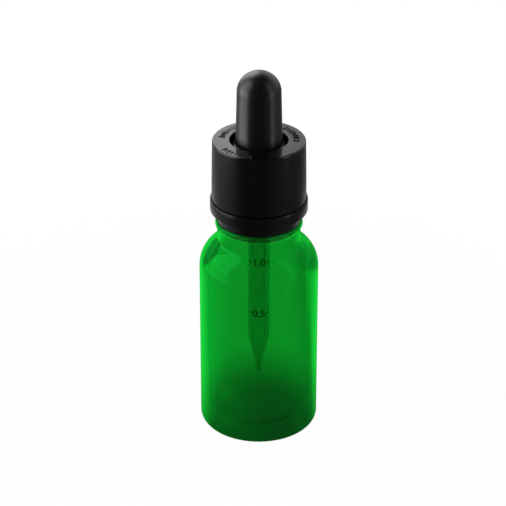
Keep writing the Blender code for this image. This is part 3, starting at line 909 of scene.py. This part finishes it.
def inside_sections():
    """Inside of the glass from the bore down to the domed floor."""
    fillet_r, fillet_z, fillet_angle = waist_fillet()
    throat_r = WAIST_RADIUS - GLASS_WALL
    heel_r = BODY_RADIUS - GLASS_WALL - INNER_HEEL_RADIUS
    heel_z = BASE_THICKNESS + INNER_HEEL_RADIUS
    fillet_round = WAIST_FILLET + GLASS_WALL
    side = smooth_step(NECK_BORE_RADIUS, MOUTH_Z - BORE_LENGTH, throat_r, TRANSFER_BEAD_Z)
    side += arc(fillet_r, fillet_z, fillet_round, HALF_TURN, HALF_TURN + fillet_angle)
    side += arc(SHOULDER_CENTRE_R, STRAIGHT_SIDE, SHOULDER_ARC - GLASS_WALL, fillet_angle, 0.0)
    side += arc(heel_r, heel_z, INNER_HEEL_RADIUS, 0.0, -QUARTER_TURN)
    floor = list(reversed(shallow_dome(heel_r, BASE_THICKNESS, PUNT_HEIGHT)))
    return [(INSIDE, side, None), (FLOOR, floor, None)]


def bottle_sections(settings):
    """Outside from the base to the mouth, then the inside down to the floor."""
    outside = body_sections(settings) + collar_sections() + neck_sections(settings)
    return outside + inside_sections()


def band_outline():
    """The band: a narrow skirt, a wide ring whose top takes the cap's edge, and the groove inside."""
    lip_top_z = BAND_STEP_Z + LIP_THICKNESS
    top_lip_z = BAND_TOP_Z - TOP_LIP_THICKNESS
    outline = [
        (SKIRT_RADII[0], BAND_LOW.z),
        (SKIRT_RADII[1] - SKIRT_LIP_THICKNESS, BAND_LOW.z),
        (SKIRT_RADII[1] - SKIRT_LIP_THICKNESS, SKIRT_LIP_Z),
        (SKIRT_RADII[1], SKIRT_LIP_Z),
        (SKIRT_RADII[1], BAND_STEP_Z),
        (BAND_HIGH.x, BAND_STEP_Z),
        (BAND_HIGH.x, BAND_TOP_Z),
        (RECESS_OUTER, BAND_TOP_Z),
        (RECESS_OUTER, RECESS_FLOOR_Z),
        (RECESS_INNER, RECESS_FLOOR_Z),
        (RECESS_INNER, BAND_TOP_Z),
        (BORE_RADIUS, BAND_TOP_Z),
        (BORE_RADIUS, top_lip_z),
        (BAND_GROOVE_RADIUS, top_lip_z),
        (BAND_GROOVE_RADIUS, lip_top_z),
        (LIP_RADIUS, lip_top_z),
        (LIP_RADIUS, BAND_STEP_Z),
    ]
    return rounded(outline, BAND_CORNER, closed=True)


def inner_cap_sections(settings):
    """The threaded cap under the shell: bore, plate over the bulb's flange, and its hole."""
    wall = [
        (INNER_HOLE_RADIUS, PLATE_UNDERSIDE_Z),
        (INNER_HOLE_RADIUS, PLATE_TOP_Z),
        (INNER_HIGH.x, PLATE_TOP_Z),
        (INNER_HIGH.x, INNER_LOW.z),
        (BORE_RADIUS + SEAT_GAP, INNER_LOW.z),
        (BORE_RADIUS, INNER_LOW.z + SEAT_GAP),
    ]
    bore = straight(
        (BORE_RADIUS, INNER_LOW.z + BORE_LEAD), (BORE_RADIUS, PLATE_UNDERSIDE_Z), BORE_ROWS
    )
    ridge = thread(
        BORE_RADIUS,
        THREAD_CORE_RADIUS + settings.thread_height + THREAD_PLAY - BORE_RADIUS,
        settings.thread_turns,
        settings.thread_pitch,
        THREAD_START_Z + settings.thread_pitch / 2,
    )
    return [(0, rounded(wall, INNER_CORNER, closed=False), None), (0, bore, ridge)]


def outer_cap_outline():
    """The outer shell: thin bottom edge, drafted side, holed top, and the snap bead inside."""
    slope = math.tan(CAP_DRAFT)

    def inner_wall(z):
        return CAP_TOP_RADIUS - CAP_WALL + (CAP_TOP_Z - z) * slope

    outline = [
        (OUTER_HIGH.x - CAP_EDGE_THICKNESS, CAP_EDGE_Z),
        (OUTER_HIGH.x - CAP_EDGE_EASE, CAP_EDGE_Z),
        (OUTER_HIGH.x, CAP_EDGE_Z + CAP_EDGE_EASE),
        (OUTER_HIGH.x, OUTER_LOW.z),
    ]
    fillet = CAP_FILLET
    outline += arc(CAP_TOP_RADIUS - fillet, CAP_TOP_Z - fillet, fillet, CAP_DRAFT, QUARTER_TURN)
    fillet = CAP_HOLE_FILLET
    outline += arc(CAP_HOLE_RADIUS + fillet, CAP_TOP_Z - fillet, fillet, QUARTER_TURN, HALF_TURN)
    outline += [
        (CAP_HOLE_RADIUS, CAP_UNDERSIDE_Z),
        (inner_wall(CAP_UNDERSIDE_Z), CAP_UNDERSIDE_Z),
        (inner_wall(SNAP_TOP_Z), SNAP_TOP_Z),
        (SNAP_RADIUS, SNAP_TOP_Z),
        (SNAP_RADIUS, SNAP_TOP_Z - SNAP_NOSE),
        (SNAP_RADIUS + SNAP_TOP_Z - OUTER_LOW.z, OUTER_LOW.z),
        (OUTER_HIGH.x - CAP_EDGE_THICKNESS, OUTER_LOW.z),
    ]
    return outline


def bulb_outline():
    """The bulb: dome, tapered body, collar, flange, bore with its groove, and the air space."""
    bore = PIPETTE_RADIUS + SEAT_GAP
    groove = PIPETTE_RADIUS + PIPETTE_BEAD + SEAT_GAP
    collar_top_z = CAP_TOP_Z - COLLAR_DROP
    outline = ellipse(BULB_DOME_Z, BULB_TIP_RADIUS, BULB_DOME, QUARTER_TURN, 0.0)
    outline += smooth_step(
        BULB_BASE_RADIUS, collar_top_z + COLLAR_EASE, COLLAR_RADIUS, collar_top_z - COLLAR_EASE
    )
    outline += [
        (COLLAR_RADIUS, BULB_LOW.z + FLANGE_THICKNESS),
        (BULB_HIGH.x, BULB_LOW.z + FLANGE_THICKNESS),
        (BULB_HIGH.x, BULB_LOW.z),
        (bore, BULB_LOW.z),
        (bore, PIPETTE_BEAD_Z - PIPETTE_BEAD - SEAT_GAP),
        (groove, PIPETTE_BEAD_Z - PIPETTE_BEAD / 2),
        (groove, PIPETTE_BEAD_Z + PIPETTE_BEAD / 2),
        (bore, PIPETTE_BEAD_Z + PIPETTE_BEAD + SEAT_GAP),
        (bore, collar_top_z),
        (BULB_BASE_RADIUS - BULB_WALL, collar_top_z + BULB_WALL),
    ]
    outline += ellipse(
        BULB_DOME_Z, BULB_TIP_RADIUS - BULB_WALL, BULB_DOME - BULB_WALL, 0.0, QUARTER_TURN
    )
    return outline


def pipette_sections():
    """Outside and then inside of the tube with the bead at its head, its cone and its open tip."""
    tip_top_z = TIP_Z + TIP_LENGTH
    cone_top_z = tip_top_z + CONE_LENGTH
    outside = [(TIP_RADIUS, TIP_Z), (TIP_TOP_RADIUS, tip_top_z), (PIPETTE_RADIUS, cone_top_z)]
    outside += arc(PIPETTE_RADIUS, PIPETTE_BEAD_Z, PIPETTE_BEAD, -QUARTER_TURN, QUARTER_TURN)
    outside.append((PIPETTE_RADIUS, PIPETTE_HIGH.z))
    inside = [
        (PIPETTE_BORE, PIPETTE_HIGH.z),
        (PIPETTE_BORE, cone_top_z),
        (TIP_BORE, tip_top_z),
        (TIP_BORE, TIP_Z),
    ]
    return [(0, outside, None), (1, inside, None)]


def add_ratchet_lug(bm, middle):
    """Adds one ratchet lug: upright on its closing side, half sloped on its opening side."""
    start = middle - INNER_LUG_SPAN / 2
    end = start + INNER_LUG_SPAN
    low = PLATE_TOP_Z - ROOT
    high = PLATE_TOP_Z + LUG_HEIGHT
    side = (
        (start, low),
        (end, low),
        (end, high),
        (start + INNER_LUG_RAMP, high),
        (start, high - RATCHET_STEP),
    )
    radii = (LUG_OUTER - LUG_LENGTH, LUG_OUTER)
    add_skin(bm, [[bm.verts.new(turned(r, angle, z)) for angle, z in side] for r in radii])


def add_raised(bm, outline, radius, angle, height):
    """Adds one raised mark to the cap's top. Its outline runs along the arc and across it, in metres
    from the mark's middle, and its flanks slope up to a narrower top, as on a moulded letter."""
    centre = Vector((sum(u for u, _ in outline), sum(v for _, v in outline))) / len(outline)

    def drawn_in(value, middle, inset):
        left_over = max(abs(value - middle) - inset, 0.0)
        return middle + math.copysign(left_over, value - middle)

    rings = []
    for inset, z in ((0.0, CAP_TOP_Z - SHALLOW_ROOT), (MARK_SLOPE, CAP_TOP_Z + height)):
        ring = []
        for u, v in outline:
            r = radius + drawn_in(v, centre.y, inset)
            turn = angle - drawn_in(u, centre.x, inset) / radius
            ring.append(bm.verts.new(turned(r, turn, z)))
        rings.append(ring)
    add_skin(bm, rings)


def bar(width, height):
    """A short upright bar."""
    across = width / 2
    up = height / 2
    return [(-across, -up), (across, -up), (across, up), (-across, up)]


def arrow_head(length, height):
    """A triangle that points along the arc."""
    return [(-length / 2, -height / 2), (length / 2, 0.0), (-length / 2, height / 2)]


def add_mark_row(bm, start, count, arrows, radius, settings):
    """Adds a row of bars clockwise from this angle, with arrow heads in some of the places."""
    for i in range(count):
        angle = start - i * settings.mark_pitch / radius
        if i in arrows:
            mark = arrow_head(ARROW_SHARE * settings.mark_pitch, settings.mark_length)
        else:
            height = settings.mark_length * BAR_LENGTHS[i % len(BAR_LENGTHS)]
            mark = bar(BAR_SHARE * settings.mark_pitch, height)
        add_raised(bm, mark, radius, angle, settings.mark_height)


def add_wrapped_text(bm, words, height, centre_z, radius, rise):
    """Adds text that is wrapped round the pipette and stands a little off its surface."""
    curve = bpy.data.curves.new("graduation", "FONT")
    curve.body = words
    curve.size = height * FONT_SIZE_SHARE
    curve.align_x = "CENTER"
    curve.align_y = "CENTER"
    curve.extrude = rise
    curve.offset = height * FONT_WEIGHT
    holder = placed("graduation", curve)
    graph = bpy.context.evaluated_depsgraph_get()
    mesh = bpy.data.meshes.new_from_object(holder.evaluated_get(graph))
    for vertex in mesh.vertices:
        x, y, z = vertex.co
        vertex.co = turned(radius + z, x / radius - QUARTER_TURN, centre_z + y)
    bm.from_mesh(mesh)
    bpy.data.objects.remove(holder)
    bpy.data.meshes.remove(mesh)


def add_side_bar(bm, centre_z, angle, radius, rise):
    """Adds a short level line on the pipette."""
    span = SIDE_BAR_LENGTH / radius
    half = SIDE_BAR_THICKNESS / 2
    radii = (radius - rise, radius + rise)
    heights = (centre_z - half, centre_z + half)
    add_sector(bm, radii, heights, angle - span / 2, span, SIDE_BAR_STEPS)


def tint(name, description, default):
    """A colour for the user to change."""
    return bpy.props.FloatVectorProperty(
        name=name, description=description, subtype="COLOR", default=default, min=0.0, max=1.0
    )


def length(name, description, default):
    """A length for the user to change."""
    return bpy.props.FloatProperty(
        name=name, description=description, unit="LENGTH", default=default, precision=6
    )


def two_lengths(name, description, default):
    """A pair of lengths for the user to change."""
    return bpy.props.FloatVectorProperty(
        name=name, description=description, unit="LENGTH", size=2, default=default, precision=6
    )


def share(name, description, default):
    """A number from 0 to 1 for the user to change."""
    return bpy.props.FloatProperty(
        name=name, description=description, subtype="FACTOR", default=default, min=0.0, max=1.0
    )


def number(name, description, default, least=0.0):
    """A plain number for the user to change."""
    return bpy.props.FloatProperty(
        name=name, description=description, default=default, min=least, precision=3
    )


class GlassSettings(bpy.types.PropertyGroup):
    """Sizes and colours of the glass"""

    outside_front: tint(
        "Outside tint, square on", "Colour that enters the outer surface squarely", (0.0112, 0.42, 0.053)
    )
    outside_edge: tint(
        "Outside tint, slanting", "Colour that enters the outer surface at a slant", (0.050, 0.97, 0.13)
    )
    outside_leaving: tint(
        "Outside tint, leaving", "Colour that leaves through the outer surface", (0.30, 0.97, 0.45)
    )
    # The two collar tints are dark as painted shade under the band, darkest on the bead's top
    collar_painted_shade_tint: tint(
        "Collar tint", "Colour that enters the side of the bead under the band", (0.0165, 0.165, 0.036)
    )
    collar_top: tint(
        "Collar top tint", "Colour that enters the top of that bead", (0.0036, 0.034, 0.008)
    )
    floor_front: tint("Floor tint", "Colour that enters the bottle's thick floor", (1.0, 0.70, 0.78))
    inside_front: tint(
        "Inside tint, square on", "Colour that enters the inner surface squarely", (1.0, 0.67, 0.71)
    )
    reflection_tint: tint("Reflection tint", "Colour of what the glass mirrors", (0.02, 0.88, 0.12))
    shadow_tint: tint("Shadow tint", "Colour of lamp light that passes a surface", (0.02, 0.28, 0.06))
    ior: number(
        "Refraction", "Index of the body's wall: near 1, so nothing behind it is bent", 1.001, least=1.0
    )
    neck_ior: number("Neck refraction", "How much the thick neck bends light", 1.5, least=1.0)
    shine_ior: number("Shine", "Index that sets how much the outside mirrors", 1.5, least=1.0)
    inner_shine_ior: number(
        "Inner shine", "Index that sets how much the inner surface mirrors", 1.08, least=1.0
    )
    roughness: share("Roughness", "Roughness of the polished glass", 0.02)
    ripple_depth: length("Ripple depth", "Depth of the moulded unevenness", 0.00004)
    notch_depth: length(
        "Base notch depth", "Depth of the notches in the ring that the bottle stands on", 0.00012
    )
    thread_height: length("Thread height", "How far the thread stands out from the neck", 0.00090)
    thread_pitch: length("Thread pitch", "Rise of the thread in one turn", 0.0030)
    thread_turns: number("Thread turns", "Turns of the thread on the neck", 1.75, least=0.5)


class ClosureSettings(bpy.types.PropertyGroup):
    """Sizes and colours of the two caps and the band"""

    colour: tint("Plastic colour", "Colour of the moulded caps and band", (0.0016, 0.0016, 0.0017))
    roughness: share("Side roughness", "Roughness of the satin sides", 0.2)
    top_roughness: share("Top roughness", "Roughness of upward faces", 0.03)
    shine: share("Shine", "Mirror strength of the plastic", 0.5)
    grain_depth: length("Grain depth", "Depth of the moulded grain", 0.000002)
    mark_height: length("Mark height", "Height of the raised marks on the top", 0.00020)
    mark_length: length("Mark length", "Length of a raised mark across the ring", 0.0017)
    mark_pitch: length("Mark pitch", "Distance from one raised mark to the next", 0.00098)
    mark_radii: two_lengths(
        "Mark radii", "Radii of the two rings that the raised marks stand on", (0.0089, 0.0097)
    )


class BulbSettings(bpy.types.PropertyGroup):
    """Colours of the rubber bulb"""

    colour: tint("Rubber colour", "Colour of the bulb", (0.0020, 0.0020, 0.0021))
    roughness: share("Roughness", "Roughness of the rubber", 0.30)
    shine: share("Shine", "Mirror strength of the rubber", 0.5)
    sheen: share("Sheen", "Dusty sheen at the edges", 0.01)
    grain_depth: length("Grain depth", "Depth of the rubber's grain", 0.000001)


class PipetteSettings(bpy.types.PropertyGroup):
    """Sizes and colours of the pipette and its marks"""

    colour: tint("Plastic colour", "Colour that the outer surface lets through", (0.59, 0.65, 0.61))
    bore_colour: tint("Bore colour", "Colour that the bore's surface lets through", (0.86, 0.90, 0.88))
    print_colour: tint("Print colour", "Colour of the numbers and lines", (0.02, 0.02, 0.02))
    roughness: share("Roughness", "Roughness of the pipette", 0.08)
    ior: number("Refraction", "How much the plastic bends light", 1.15, least=1.0)
    streak_depth: length("Streak depth", "Depth of the drawn streaks", 0.00001)
    print_height: length("Number height", "Height of the numbers", 0.0019)
    print_rise: length("Print thickness", "How far the print stands off the tube", 0.00003)
    full_mark_z: length("Upper mark height", "Height of the upper mark over the base", 0.0446)
    half_mark_z: length("Lower mark height", "Height of the lower mark over the base", 0.0304)


class StageSettings(bpy.types.PropertyGroup):
    """Camera, lamps and floor"""

    floor_colour: tint("Floor colour", "Colour of the floor", (0.88, 0.88, 0.88))
    floor_glow: share("Floor white", "Share of plain white in the floor as it is seen", 0.97)
    # From the shade tone to the right shade: the painted shade that the glass shows on the table
    shade_tone: share(
        "Shade tone", "Tone of the floor through the glass in front of its darkest line", 0.19
    )
    shade_reach: two_lengths(
        "Shade reach", "Where the shade seen through the glass turns, and where it ends", (0.013, 0.036)
    )
    shade_bend: number("Shade bend", "How quickly that shade draws back at its sides, per metre", 112.0)
    shade_spread: number(
        "Shade spread", "How much that bend eases farther behind, per square metre", 2100.0
    )
    # Darkness of the painted dark fields, which are painted shade on the shoulders
    painted_field_shade: share("Field shade", "How dark the fields behind the bottle's shoulders look", 0.40)
    painted_right_shade: share("Right shade", "How much dimmer the table looks through the right side", 0.40)
    wall_light: number("Wall light", "Brightness of the wall behind the table", 1.0)
    front_light: number("Front light", "Brightness of the room in front of the table", 0.02)
    left_light: number("Left light", "Brightness of the room left of the table", 0.27)
    right_light: number("Right light", "Brightness of the room right of the table", 0.07)
    behind_light: number("Light behind", "Brightness of the room behind, under the wall", 0.15)
    left_window: number("Left window", "Brightness of the low window on the left", 1.2)
    right_window: number("Right window", "Brightness of the low window on the right", 0.9)
    fill_strength: number("Room light", "Brightness of the even light on matt surfaces", 0.8)
    left_lamp: number("Left lamp", "Brightness of the soft lamp on the left", 2.3)
    right_lamp: number("Right lamp", "Brightness of the soft lamp on the right", 0.25)
    right_strip: number("Right strip", "Brightness of the narrow lamp at that lamp's front", 0.9)
    back_lamp: number("Back lamp", "Brightness of the soft lamp behind, left", 1.0)
    high_lamp: number("High lamp", "Brightness of the soft lamp over the back lamp", 2.8)
    table_radius: length("Table radius", "Radius of the round table", 0.125)
    table_back: length("Table shift", "How far the table's centre lies behind the bottle", 0.012)
    camera_elevation: bpy.props.FloatProperty(
        name="Camera elevation",
        description="Angle of the camera above the horizon",
        subtype="ANGLE",
        default=math.radians(28.10),
    )
    camera_distance: length("Camera distance", "Distance to the point it looks at", 0.536)
    camera_lens: number("Lens", "Focal length in millimetres", 156.8, least=10.0)
    aim_height: length("Aim height", "Height of the point that the camera looks at", 0.04603)
    aim_side: length("Aim sideways", "How far that point lies right of the bottle's axis", -0.00143)


class DROPPER_OT_glass_bottle(bpy.types.Operator):
    """Makes the glass bottle with its thread and its notched base ring"""

    bl_idname = "dropper.glass_bottle"
    bl_label = "Glass bottle"

    def execute(self, context):
        settings = context.scene.dropper_glass
        bm = spin(bottle_sections(settings), BOTTLE_SEGMENTS, closed=False)
        outside = (settings.outside_front, settings.outside_edge, settings.outside_leaving)
        inside = (settings.inside_front, CLEAR, CLEAR)
        # The collar's dark tints are painted shade under the band
        collar = (settings.collar_painted_shade_tint, *outside[1:])
        thick = (settings.floor_front, settings.floor_front, CLEAR)
        collar_top = (settings.collar_top, *outside[1:])
        wall = (settings.ior, settings.shine_ior)
        inner_wall = (settings.ior, settings.inner_shine_ior)
        rows = (
            ("glass_outside", outside, OUTSIDE_SLANT, *wall),
            ("glass_inside", inside, INSIDE_SLANT, *inner_wall),
            ("glass_collar", collar, COLLAR_SLANT, *wall),
            ("glass_neck", outside, OUTSIDE_SLANT, settings.neck_ior, settings.shine_ior),
            ("glass_inner_floor", thick, INSIDE_SLANT, *inner_wall),
            ("glass_collar_top", collar_top, COLLAR_TOP_SLANT, *wall),
        )
        looks = [glass_look(*row, settings) for row in rows]
        piece("glass_bottle", bm, looks, "bottle", ["bottle"])
        return {"FINISHED"}


class DROPPER_OT_closure(bpy.types.Operator):
    """Makes the tamper-evident band and the inner and outer caps"""

    bl_idname = "dropper.closure"
    bl_label = "Band and caps"

    def execute(self, context):
        settings = context.scene.dropper_closure
        self.make_band(plastic_look("band_black", settings))
        self.make_inner_cap(plastic_look("inner_cap_black", settings), context.scene.dropper_glass)
        self.make_outer_cap(plastic_look("outer_cap_black", settings))
        return {"FINISHED"}

    def make_band(self, look):
        bm = spin([(0, band_outline(), None)], CLOSURE_SEGMENTS, closed=True)
        band = piece("tamper_ring", bm, [look], "band", ["tamper_band"])
        stubs = bmesh.new()
        inner = BORE_RADIUS + SHALLOW_ROOT
        width = BRIDGE_WIDTH / inner
        for i in range(BRIDGE_COUNT):
            add_sector(
                stubs,
                (inner, inner + BRIDGE_THICKNESS),
                (BAND_TOP_Z - ROOT, BAND_HIGH.z),
                FULL_TURN * i / BRIDGE_COUNT - width / 2,
                width,
                BRIDGE_STEPS,
            )
        joined(band, stubs)

    def make_inner_cap(self, look, glass):
        bm = spin(inner_cap_sections(glass), CLOSURE_SEGMENTS, closed=True)
        cap = piece("inner_threaded_cap", bm, [look], "inner_cap", ["inner_cap"])
        drive = bmesh.new()
        finger_low = PLATE_TOP_Z - ROOT
        finger_rise = INNER_HIGH.z - finger_low - FINGER_THICKNESS
        for i in range(LUG_COUNT):
            add_ratchet_lug(drive, FULL_TURN * (i + 0.5) / LUG_COUNT)
            add_sector(
                drive,
                FINGER_RADII,
                (finger_low, finger_low + FINGER_THICKNESS),
                FULL_TURN * i / LUG_COUNT,
                FINGER_SPAN,
                FINGER_STEPS,
                rise=finger_rise,
            )
        joined(cap, drive)

    def make_outer_cap(self, look):
        bm = spin([(0, outer_cap_outline(), None)], CLOSURE_SEGMENTS, closed=True)
        cap = piece("outer_cap_shell", bm, [look], "outer_cap", ["outer_cap"])
        lugs = bmesh.new()
        span = OUTER_LUG_SPAN
        for i in range(LUG_COUNT):
            add_sector(
                lugs,
                (LUG_OUTER - LUG_LENGTH, CAP_TOP_RADIUS - CAP_WALL + ROOT),
                (CAP_UNDERSIDE_Z - LUG_HEIGHT, CAP_UNDERSIDE_Z + ROOT),
                FULL_TURN * i / LUG_COUNT - span / 2,
                span,
                LUG_STEPS,
            )
        joined(cap, lugs)


class DROPPER_OT_cap_marks(bpy.types.Operator):
    """Makes the raised arrows and bars on the cap's top"""

    bl_idname = "dropper.cap_marks"
    bl_label = "Marks on the cap"

    def execute(self, context):
        settings = context.scene.dropper_closure
        bm = bmesh.new()
        for start, count, arrows, ring in MARK_ROWS:
            add_mark_row(bm, start, count, arrows, settings.mark_radii[ring], settings)
        bmesh.ops.recalc_face_normals(bm, faces=bm.faces)
        look = plastic_look("mark_black", settings)
        piece("raised_cap_marks", bm, [look], "outer_cap")
        return {"FINISHED"}


class DROPPER_OT_bulb(bpy.types.Operator):
    """Makes the rubber bulb"""

    bl_idname = "dropper.bulb"
    bl_label = "Rubber bulb"

    def execute(self, context):
        look = rubber_look("bulb_black", context.scene.dropper_bulb)
        bm = spin([(0, bulb_outline(), None)], BULB_SEGMENTS, closed=False)
        piece("rubber_bulb", bm, [look], "dropper", ["bulb"])
        return {"FINISHED"}


class DROPPER_OT_pipette(bpy.types.Operator):
    """Makes the pipette with its numbers and lines"""

    bl_idname = "dropper.pipette"
    bl_label = "Pipette and its marks"

    def execute(self, context):
        settings = context.scene.dropper_pipette
        looks = [
            pipette_look("pipette_outside", settings.colour, settings),
            pipette_look("pipette_bore", settings.bore_colour, settings),
        ]
        bm = spin(pipette_sections(), PIPETTE_SEGMENTS, closed=True)
        piece("pipette_tube", bm, looks, "dropper", ["pipette"])
        self.make_marks(settings)
        return {"FINISHED"}

    def make_marks(self, settings):
        radius = PIPETTE_RADIUS + settings.print_rise
        bm = bmesh.new()
        for words, centre_z in (("1.0", settings.full_mark_z), ("0.5", settings.half_mark_z)):
            add_wrapped_text(bm, words, settings.print_height, centre_z, radius, settings.print_rise)
            for side in (-SIDE_BAR_ANGLE, SIDE_BAR_ANGLE):
                add_side_bar(bm, centre_z, side - QUARTER_TURN, radius, settings.print_rise)
        bmesh.ops.remove_doubles(bm, verts=bm.verts, dist=SAME_POINT)
        bmesh.ops.recalc_face_normals(bm, faces=bm.faces)
        look = print_look("graduation_print", settings)
        piece("graduation_marks", bm, [look], "dropper")


class DROPPER_OT_stage(bpy.types.Operator):
    """Makes the floor, the room light, the lamps and the camera"""

    bl_idname = "dropper.stage"
    bl_label = "Stage"

    def execute(self, context):
        settings = context.scene.dropper_stage
        self.make_floor(settings)
        self.light_room(settings)
        for name, (place, size) in LAMPS.items():
            self.add_lamp(name, place, size, getattr(settings, name))
        self.place_camera(settings)
        context.scene.view_settings.view_transform = "Standard"
        return {"FINISHED"}

    def make_floor(self, settings):
        bm = bmesh.new()
        bmesh.ops.create_circle(bm, cap_ends=True, segments=TABLE_SEGMENTS, radius=settings.table_radius)
        mesh = mesh_of("table", bm)
        mesh.materials.append(floor_look("pale_table", settings))
        table = placed("table", mesh)
        table.location = (0.0, settings.table_back, -TABLE_DROP)

    def light_room(self, settings):
        """White as it is seen, directly or through glass. Reflections see a white wall behind the table,
        dimmer sides and two low windows, and matt surfaces an even light."""
        world = bpy.data.worlds.new("studio")
        bpy.context.scene.world = world
        look = Look(world)
        direction = look.add("ShaderNodeTexCoord", output="Generated")
        room = room_light(look, direction, settings) + low_windows(look, direction, settings)
        lit = settings.fill_strength + (room - settings.fill_strength) * look.ray("Glossy")
        seen = {0: look.ray("Camera"), 1: look.ray("Transmission")}
        white = look.add("ShaderNodeMath", {"operation": "MAXIMUM"}, seen)
        tone = white + (1.0 - white) * lit
        background = look.nodes["Background"]
        look.set_node(background, {}, {"Color": tone, "Strength": 1.0})

    def add_lamp(self, name, place, size, radiance):
        """A soft lamp that faces the bottle's axis level, and is seen only in reflections."""
        lamp = bpy.data.lights.new(name, "AREA")
        lamp.shape = "RECTANGLE"
        lamp.size, lamp.size_y = size
        lamp.energy = radiance * math.pi * lamp.size * lamp.size_y
        made = placed(name, lamp)
        made.location = place
        aim = Vector((0.0, 0.0, place[2])) - Vector(place)
        made.rotation_euler = aim.to_track_quat("-Z", "Y").to_euler()
        made.visible_camera = False
        made.visible_transmission = False

    def place_camera(self, settings):
        camera = bpy.data.cameras.new("camera")
        camera.lens = settings.camera_lens
        camera.sensor_width = SENSOR_WIDTH
        made = placed("camera", camera)
        aim = Vector((settings.aim_side, 0.0, settings.aim_height))
        elevation = settings.camera_elevation
        away = Vector((0.0, -math.cos(elevation), math.sin(elevation)))
        made.location = aim + away * settings.camera_distance
        made.rotation_euler = (-away).to_track_quat("-Z", "Y").to_euler()
        bpy.context.scene.camera = made


class DROPPER_PT_panel(bpy.types.Panel):
    """Lists the pieces and their settings"""

    bl_idname = "DROPPER_PT_panel"
    bl_label = "Dropper bottle"
    bl_space_type = "VIEW_3D"
    bl_region_type = "UI"
    bl_category = "Dropper bottle"

    def draw(self, context):
        for operators, group in PANEL_ROWS:
            box = self.layout.box()
            for operator in operators:
                box.operator(operator.bl_idname)
            settings = getattr(context.scene, group)
            for name in type(settings).__annotations__:
                box.prop(settings, name)


SETTINGS = {
    "dropper_glass": GlassSettings,
    "dropper_closure": ClosureSettings,
    "dropper_bulb": BulbSettings,
    "dropper_pipette": PipetteSettings,
    "dropper_stage": StageSettings,
}
PANEL_ROWS = (
    ((DROPPER_OT_glass_bottle,), "dropper_glass"),
    ((DROPPER_OT_closure, DROPPER_OT_cap_marks), "dropper_closure"),
    ((DROPPER_OT_bulb,), "dropper_bulb"),
    ((DROPPER_OT_pipette,), "dropper_pipette"),
    ((DROPPER_OT_stage,), "dropper_stage"),
)
OPERATORS = tuple(operator for operators, _ in PANEL_ROWS for operator in operators)


def register():
    for made in (*SETTINGS.values(), *OPERATORS, DROPPER_PT_panel):
        bpy.utils.register_class(made)
    for name, group in SETTINGS.items():
        setattr(bpy.types.Scene, name, bpy.props.PointerProperty(type=group))


def unregister():
    for name in SETTINGS:
        delattr(bpy.types.Scene, name)
    for made in (DROPPER_PT_panel, *reversed(OPERATORS), *reversed(SETTINGS.values())):
        bpy.utils.unregister_class(made)


def main():
    register()
    bpy.ops.dropper.glass_bottle()
    bpy.ops.dropper.closure()
    bpy.ops.dropper.cap_marks()
    bpy.ops.dropper.bulb()
    bpy.ops.dropper.pipette()
    bpy.ops.dropper.stage()


if __name__ == "__main__":
    main()
